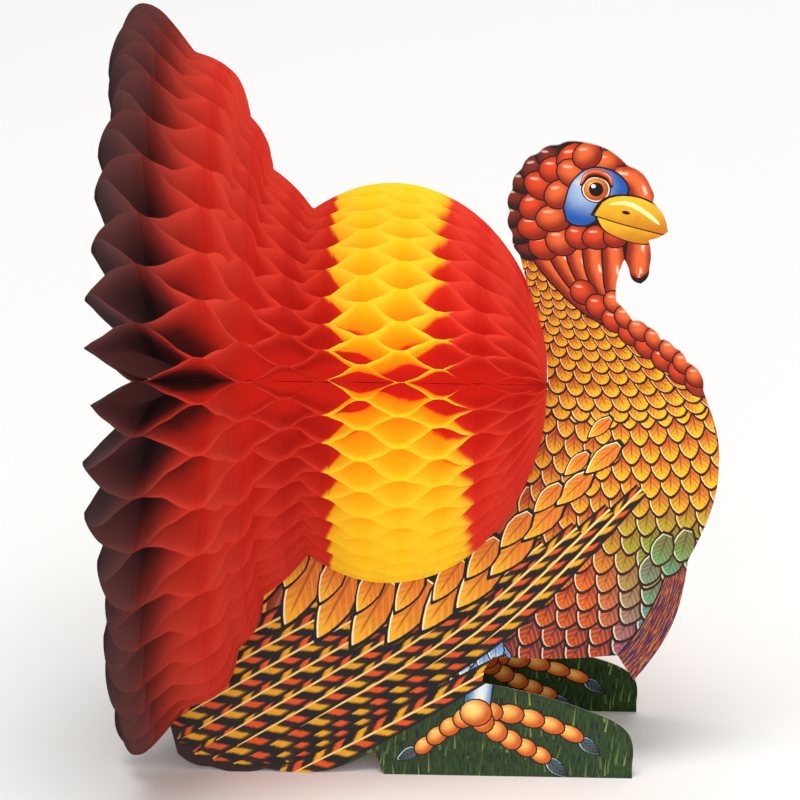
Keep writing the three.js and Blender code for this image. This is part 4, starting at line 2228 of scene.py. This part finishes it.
    def _pair(self, side: Side, pair: int) -> bpy.types.Object:
        """Makes one pair of sheets.

        Args:
            side: the half.
            pair: the pair's number, from 0 at the top.

        Returns:
            The pair's object.
        """
        label = f"{side.word}_{pair + 1:02d}"
        inner = self._inner(pair)
        reach = np.maximum(self.radius(self.columns), inner + self.least_reach)
        share = np.array(self.rows)
        r = inner[:, None] + (reach - inner)[:, None] * share
        flat = np.repeat(self.columns[:, None], len(share), 1)
        x = flat + self._tuck(side, pair)[:, None]
        depth = reach[:, None] - r
        places, maps, faces = [], [], []
        for sheet in (-1, 1):
            angle = self._angles(side, pair, sheet)[:, None]
            chance = self.chance[side.number, pair, (1 + sheet) // 2]
            lift = self._ripple(share, chance[0]) + sheet * self._press(pair == 0 and sheet < 0)
            y = -(r * np.sin(angle) + lift * np.cos(angle)) * side.value
            z = r * np.cos(angle) - lift * np.sin(angle)
            start = len(places) * x.size
            places.append(np.stack([x + self.layout.pole, y, z + self.layout.axis], 2).reshape(-1, 3))
            dyed = flat - self.layout.rear + self.dye_shift * chance[1] + self._drift(pair)[:, None]
            maps.append(np.stack([dyed, depth], 2).reshape(-1, 2) / DECIMETRE)
            grid = np.arange(x.size).reshape(x.shape) + start
            corners = [grid[:-1, :-1], grid[1:, :-1], grid[1:, 1:], grid[:-1, 1:]]
            quads = np.stack(corners, 2).reshape(-1, 4)
            faces.append(quads if sheet * side.value > 0 else quads[:, ::-1])
        piece = new_piece(f"sheets_{label}", np.vstack(places), np.vstack(faces).tolist())
        self._dress(piece, np.vstack(maps))
        angle = (pair + 0.5) * self.pitch
        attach(piece, f"{side.word}_leaf_{pair + 1:02d}")
        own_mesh(piece)
        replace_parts(piece, f"tissue_{label}")
        return piece

    def _press(self, free: bool) -> Points:
        """How far glue presses a sheet: into its pair on the pair's own lines, and out of it between pairs.

        Args:
            free: whether the sheet is the topmost of its half, which is glued to its own pair alone.

        Returns:
            One length for each column.
        """
        k, t = self._cell()
        swing = np.full(len(t), self.free_press) if free else (2 * (k % 2) - 1) * (1 - 2 * t)
        return self.glue_press * swing[:, None]

    def _ripple(self, share: Points, chance: float) -> Points:
        """How far the free parts of a sheet wave out of its plane, growing towards its rim.

        Args:
            share: places from the axis, at 0, to the rim, at 1.
            chance: the sheet's own number, from -1 to 1.

        Returns:
            One length for each column and place.
        """
        _, t = self._cell()
        crests = np.sin(self.columns * self.ripple_rate + self.ripple_chance * chance)
        wave = np.sin(math.pi * t) ** 2 * crests
        return self.ripple * wave[:, None] * share**2

    def _dress(self, piece: bpy.types.Object, maps: Points) -> None:
        """Gives a pair its map, smooth shading, and its tissue of dye, painted shade and painted glow.

        Args:
            piece: the pair's object.
            maps: decimetres from the rear edge and in from the rim, one row for each vertex.
        """
        mesh = piece.data
        corner = np.zeros(len(mesh.loops), int)
        mesh.loops.foreach_get("vertex_index", corner)
        mesh.uv_layers.new(name="sheet").uv.foreach_set("vector", maps[corner].astype(np.float32).ravel())
        mesh.polygons.foreach_set("use_smooth", np.ones(len(mesh.polygons), bool))
        mesh.materials.append(finish_of(DyedTissue()))


@dataclass
class Binding:
    """The twisted thread along the axis."""

    layout: Layout
    strands: int = 3
    strand_share: float = 0.5
    turns: int = 16
    sides: int = 8
    steps: int = 320

    def build(self) -> bpy.types.Object:
        """Makes the strands in place of the plain binding.

        Returns:
            The binding's object.
        """
        strand = self.layout.spine_radius * self.strand_share
        t = np.linspace(0, 1, self.steps)
        around = np.linspace(0, 2 * math.pi, self.sides, endpoint=False)
        ring = np.stack([np.cos(around), np.sin(around)], 1) * strand
        x = np.repeat(((self.layout.rear + self.layout.hollow) * (1 - t))[:, None], self.sides, 1)
        places, faces = [], []
        for k in range(self.strands):
            swing = 2 * math.pi * (self.turns * t + k / self.strands)
            centre = np.stack([np.cos(swing), np.sin(swing)], 1) * strand
            yz = centre[:, None] + ring[None]
            start = len(places) * self.steps * self.sides
            flat = [x + self.layout.pole, yz[..., 0], yz[..., 1] + self.layout.axis]
            places.append(np.stack(flat, 2).reshape(-1, 3))
            grid = np.arange(self.steps * self.sides).reshape(self.steps, self.sides) + start
            nxt = np.roll(grid, -1, 1)
            faces += np.stack([grid[:-1], nxt[:-1], nxt[1:], grid[1:]], 2).reshape(-1, 4).tolist()
            faces += [grid[0, ::-1].tolist(), grid[-1].tolist()]
        piece = new_piece("binding", np.vstack(places), faces)
        piece.data.materials.append(finish_of(BindingThread()))
        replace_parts(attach(piece, "head"), "tissue_spine")
        return piece


# Studio


@dataclass(frozen=True)
class Lamp:
    """A soft lamp: where it hangs, its size, and how bright it makes white paper that faces it."""

    name: str
    place: tuple[float, float, float]
    wide: float
    tall: float
    level: float

    def build(self, target: Vector) -> None:
        """Makes the lamp and turns it to a target.

        Args:
            target: the place that it lights, in metres.
        """
        data = bpy.data.lights.new(self.name, "AREA")
        data.shape = "RECTANGLE"
        data.size = self.wide * MM
        data.size_y = self.tall * MM
        lamp = bpy.data.objects.new(self.name, data)
        lamp.location = Vector(self.place) * MM
        aim = target - lamp.location
        # White paper that faces the lamp shows watts / (pi * distance) ** 2.
        data.energy = self.level * math.pi**2 * aim.length_squared
        lamp.rotation_mode = "QUATERNION"
        lamp.rotation_quaternion = aim.to_track_quat("-Z", "Y")
        bpy.context.scene.collection.objects.link(lamp)


@dataclass
class Studio:
    """Pale floor, soft light and a camera at the photograph's angle."""

    target: tuple[float, float, float] = (-6.25, 0.0, 144.4)
    distance: float = 3000.0
    azimuth: float = 3.0
    elevation: float = 17.0
    across: float = 320.0
    sensor: float = 36.0
    floor_half: float = 4000.0
    ambient: float = 0.5
    lamps: tuple[Lamp, ...] = (
        Lamp("front", (113, -3380, 1050), 3000, 1500, 0.32),
        Lamp("top", (-200, -800, 2600), 1600, 1600, 0.6),
        Lamp("side", (1500, -1300, 900), 1600, 1200, 0.08),
        Lamp("back", (300, 1700, 1500), 1400, 1400, 0.18),
    )

    def build(self) -> None:
        """Makes the floor, the light and the camera."""
        bpy.context.scene.view_settings.view_transform = "Standard"
        self._floor()
        self._world()
        for lamp in self.lamps:
            lamp.build(Vector(self.target) * MM)
        self._camera()

    def _floor(self) -> None:
        """A wide pale sheet at the table's height."""
        h = self.floor_half
        corners = np.array([(-h, -h, 0), (h, -h, 0), (h, h, 0), (-h, h, 0)], float)
        floor = new_piece("floor", corners, [(0, 1, 2, 3)])
        floor.data.materials.append(finish_of(PaleFloor()))

    def _world(self) -> None:
        """White where the camera, gloss or glass sees it, and an even soft light otherwise."""
        world = bpy.data.worlds.new("studio")
        world.use_nodes = True
        bpy.context.scene.world = world
        g = Graph(world.node_tree)
        rays = ("Camera", "Glossy", "Transmission")
        seen = [g.node("ShaderNodeLightPath", {}, {}, f"Is {ray} Ray") for ray in rays]
        shown = g.math("MAXIMUM", g.math("MAXIMUM", seen[0], seen[1]), seen[2])
        even, white = (
            g.node("ShaderNodeBackground", {}, {"Color": paint("FFFFFF"), "Strength": strength})
            for strength in (self.ambient, 1.0)
        )
        mixed_light = g.node("ShaderNodeMixShader", {}, {0: shown, 1: even, 2: white})
        g.node("ShaderNodeOutputWorld", {}, {"Surface": mixed_light})

    def _camera(self) -> None:
        """Sets the camera so that the image is across millimetres wide at the target."""
        data = bpy.data.cameras.new("camera")
        data.sensor_width = self.sensor
        data.lens = self.sensor * self.distance / self.across
        camera = bpy.data.objects.new("camera", data)
        a, e = math.radians(self.azimuth), math.radians(self.elevation)
        back = Vector((math.sin(a) * math.cos(e), -math.cos(a) * math.cos(e), math.sin(e)))
        camera.location = (Vector(self.target) + back * self.distance) * MM
        camera.rotation_mode = "QUATERNION"
        camera.rotation_quaternion = (-back).to_track_quat("-Z", "Y")
        bpy.context.scene.collection.objects.link(camera)
        bpy.context.scene.camera = camera


def main() -> None:
    """Builds the figure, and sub-assembly by sub-assembly."""
    logging.basicConfig(level=logging.INFO, format="%(name)s: %(message)s")
    layout = Layout.read()
    art = drawn_artwork()
    pieces = [Binding(layout).build(), *TissueFan(layout).build()]
    for side in Side:
        pieces += PrintedBoards(side, layout).build(art)
    for piece in pieces:
        LOG.info("%s: %d faces", piece.name, len(piece.data.polygons))
    Studio().build()


if __name__ == "__main__":
    main()
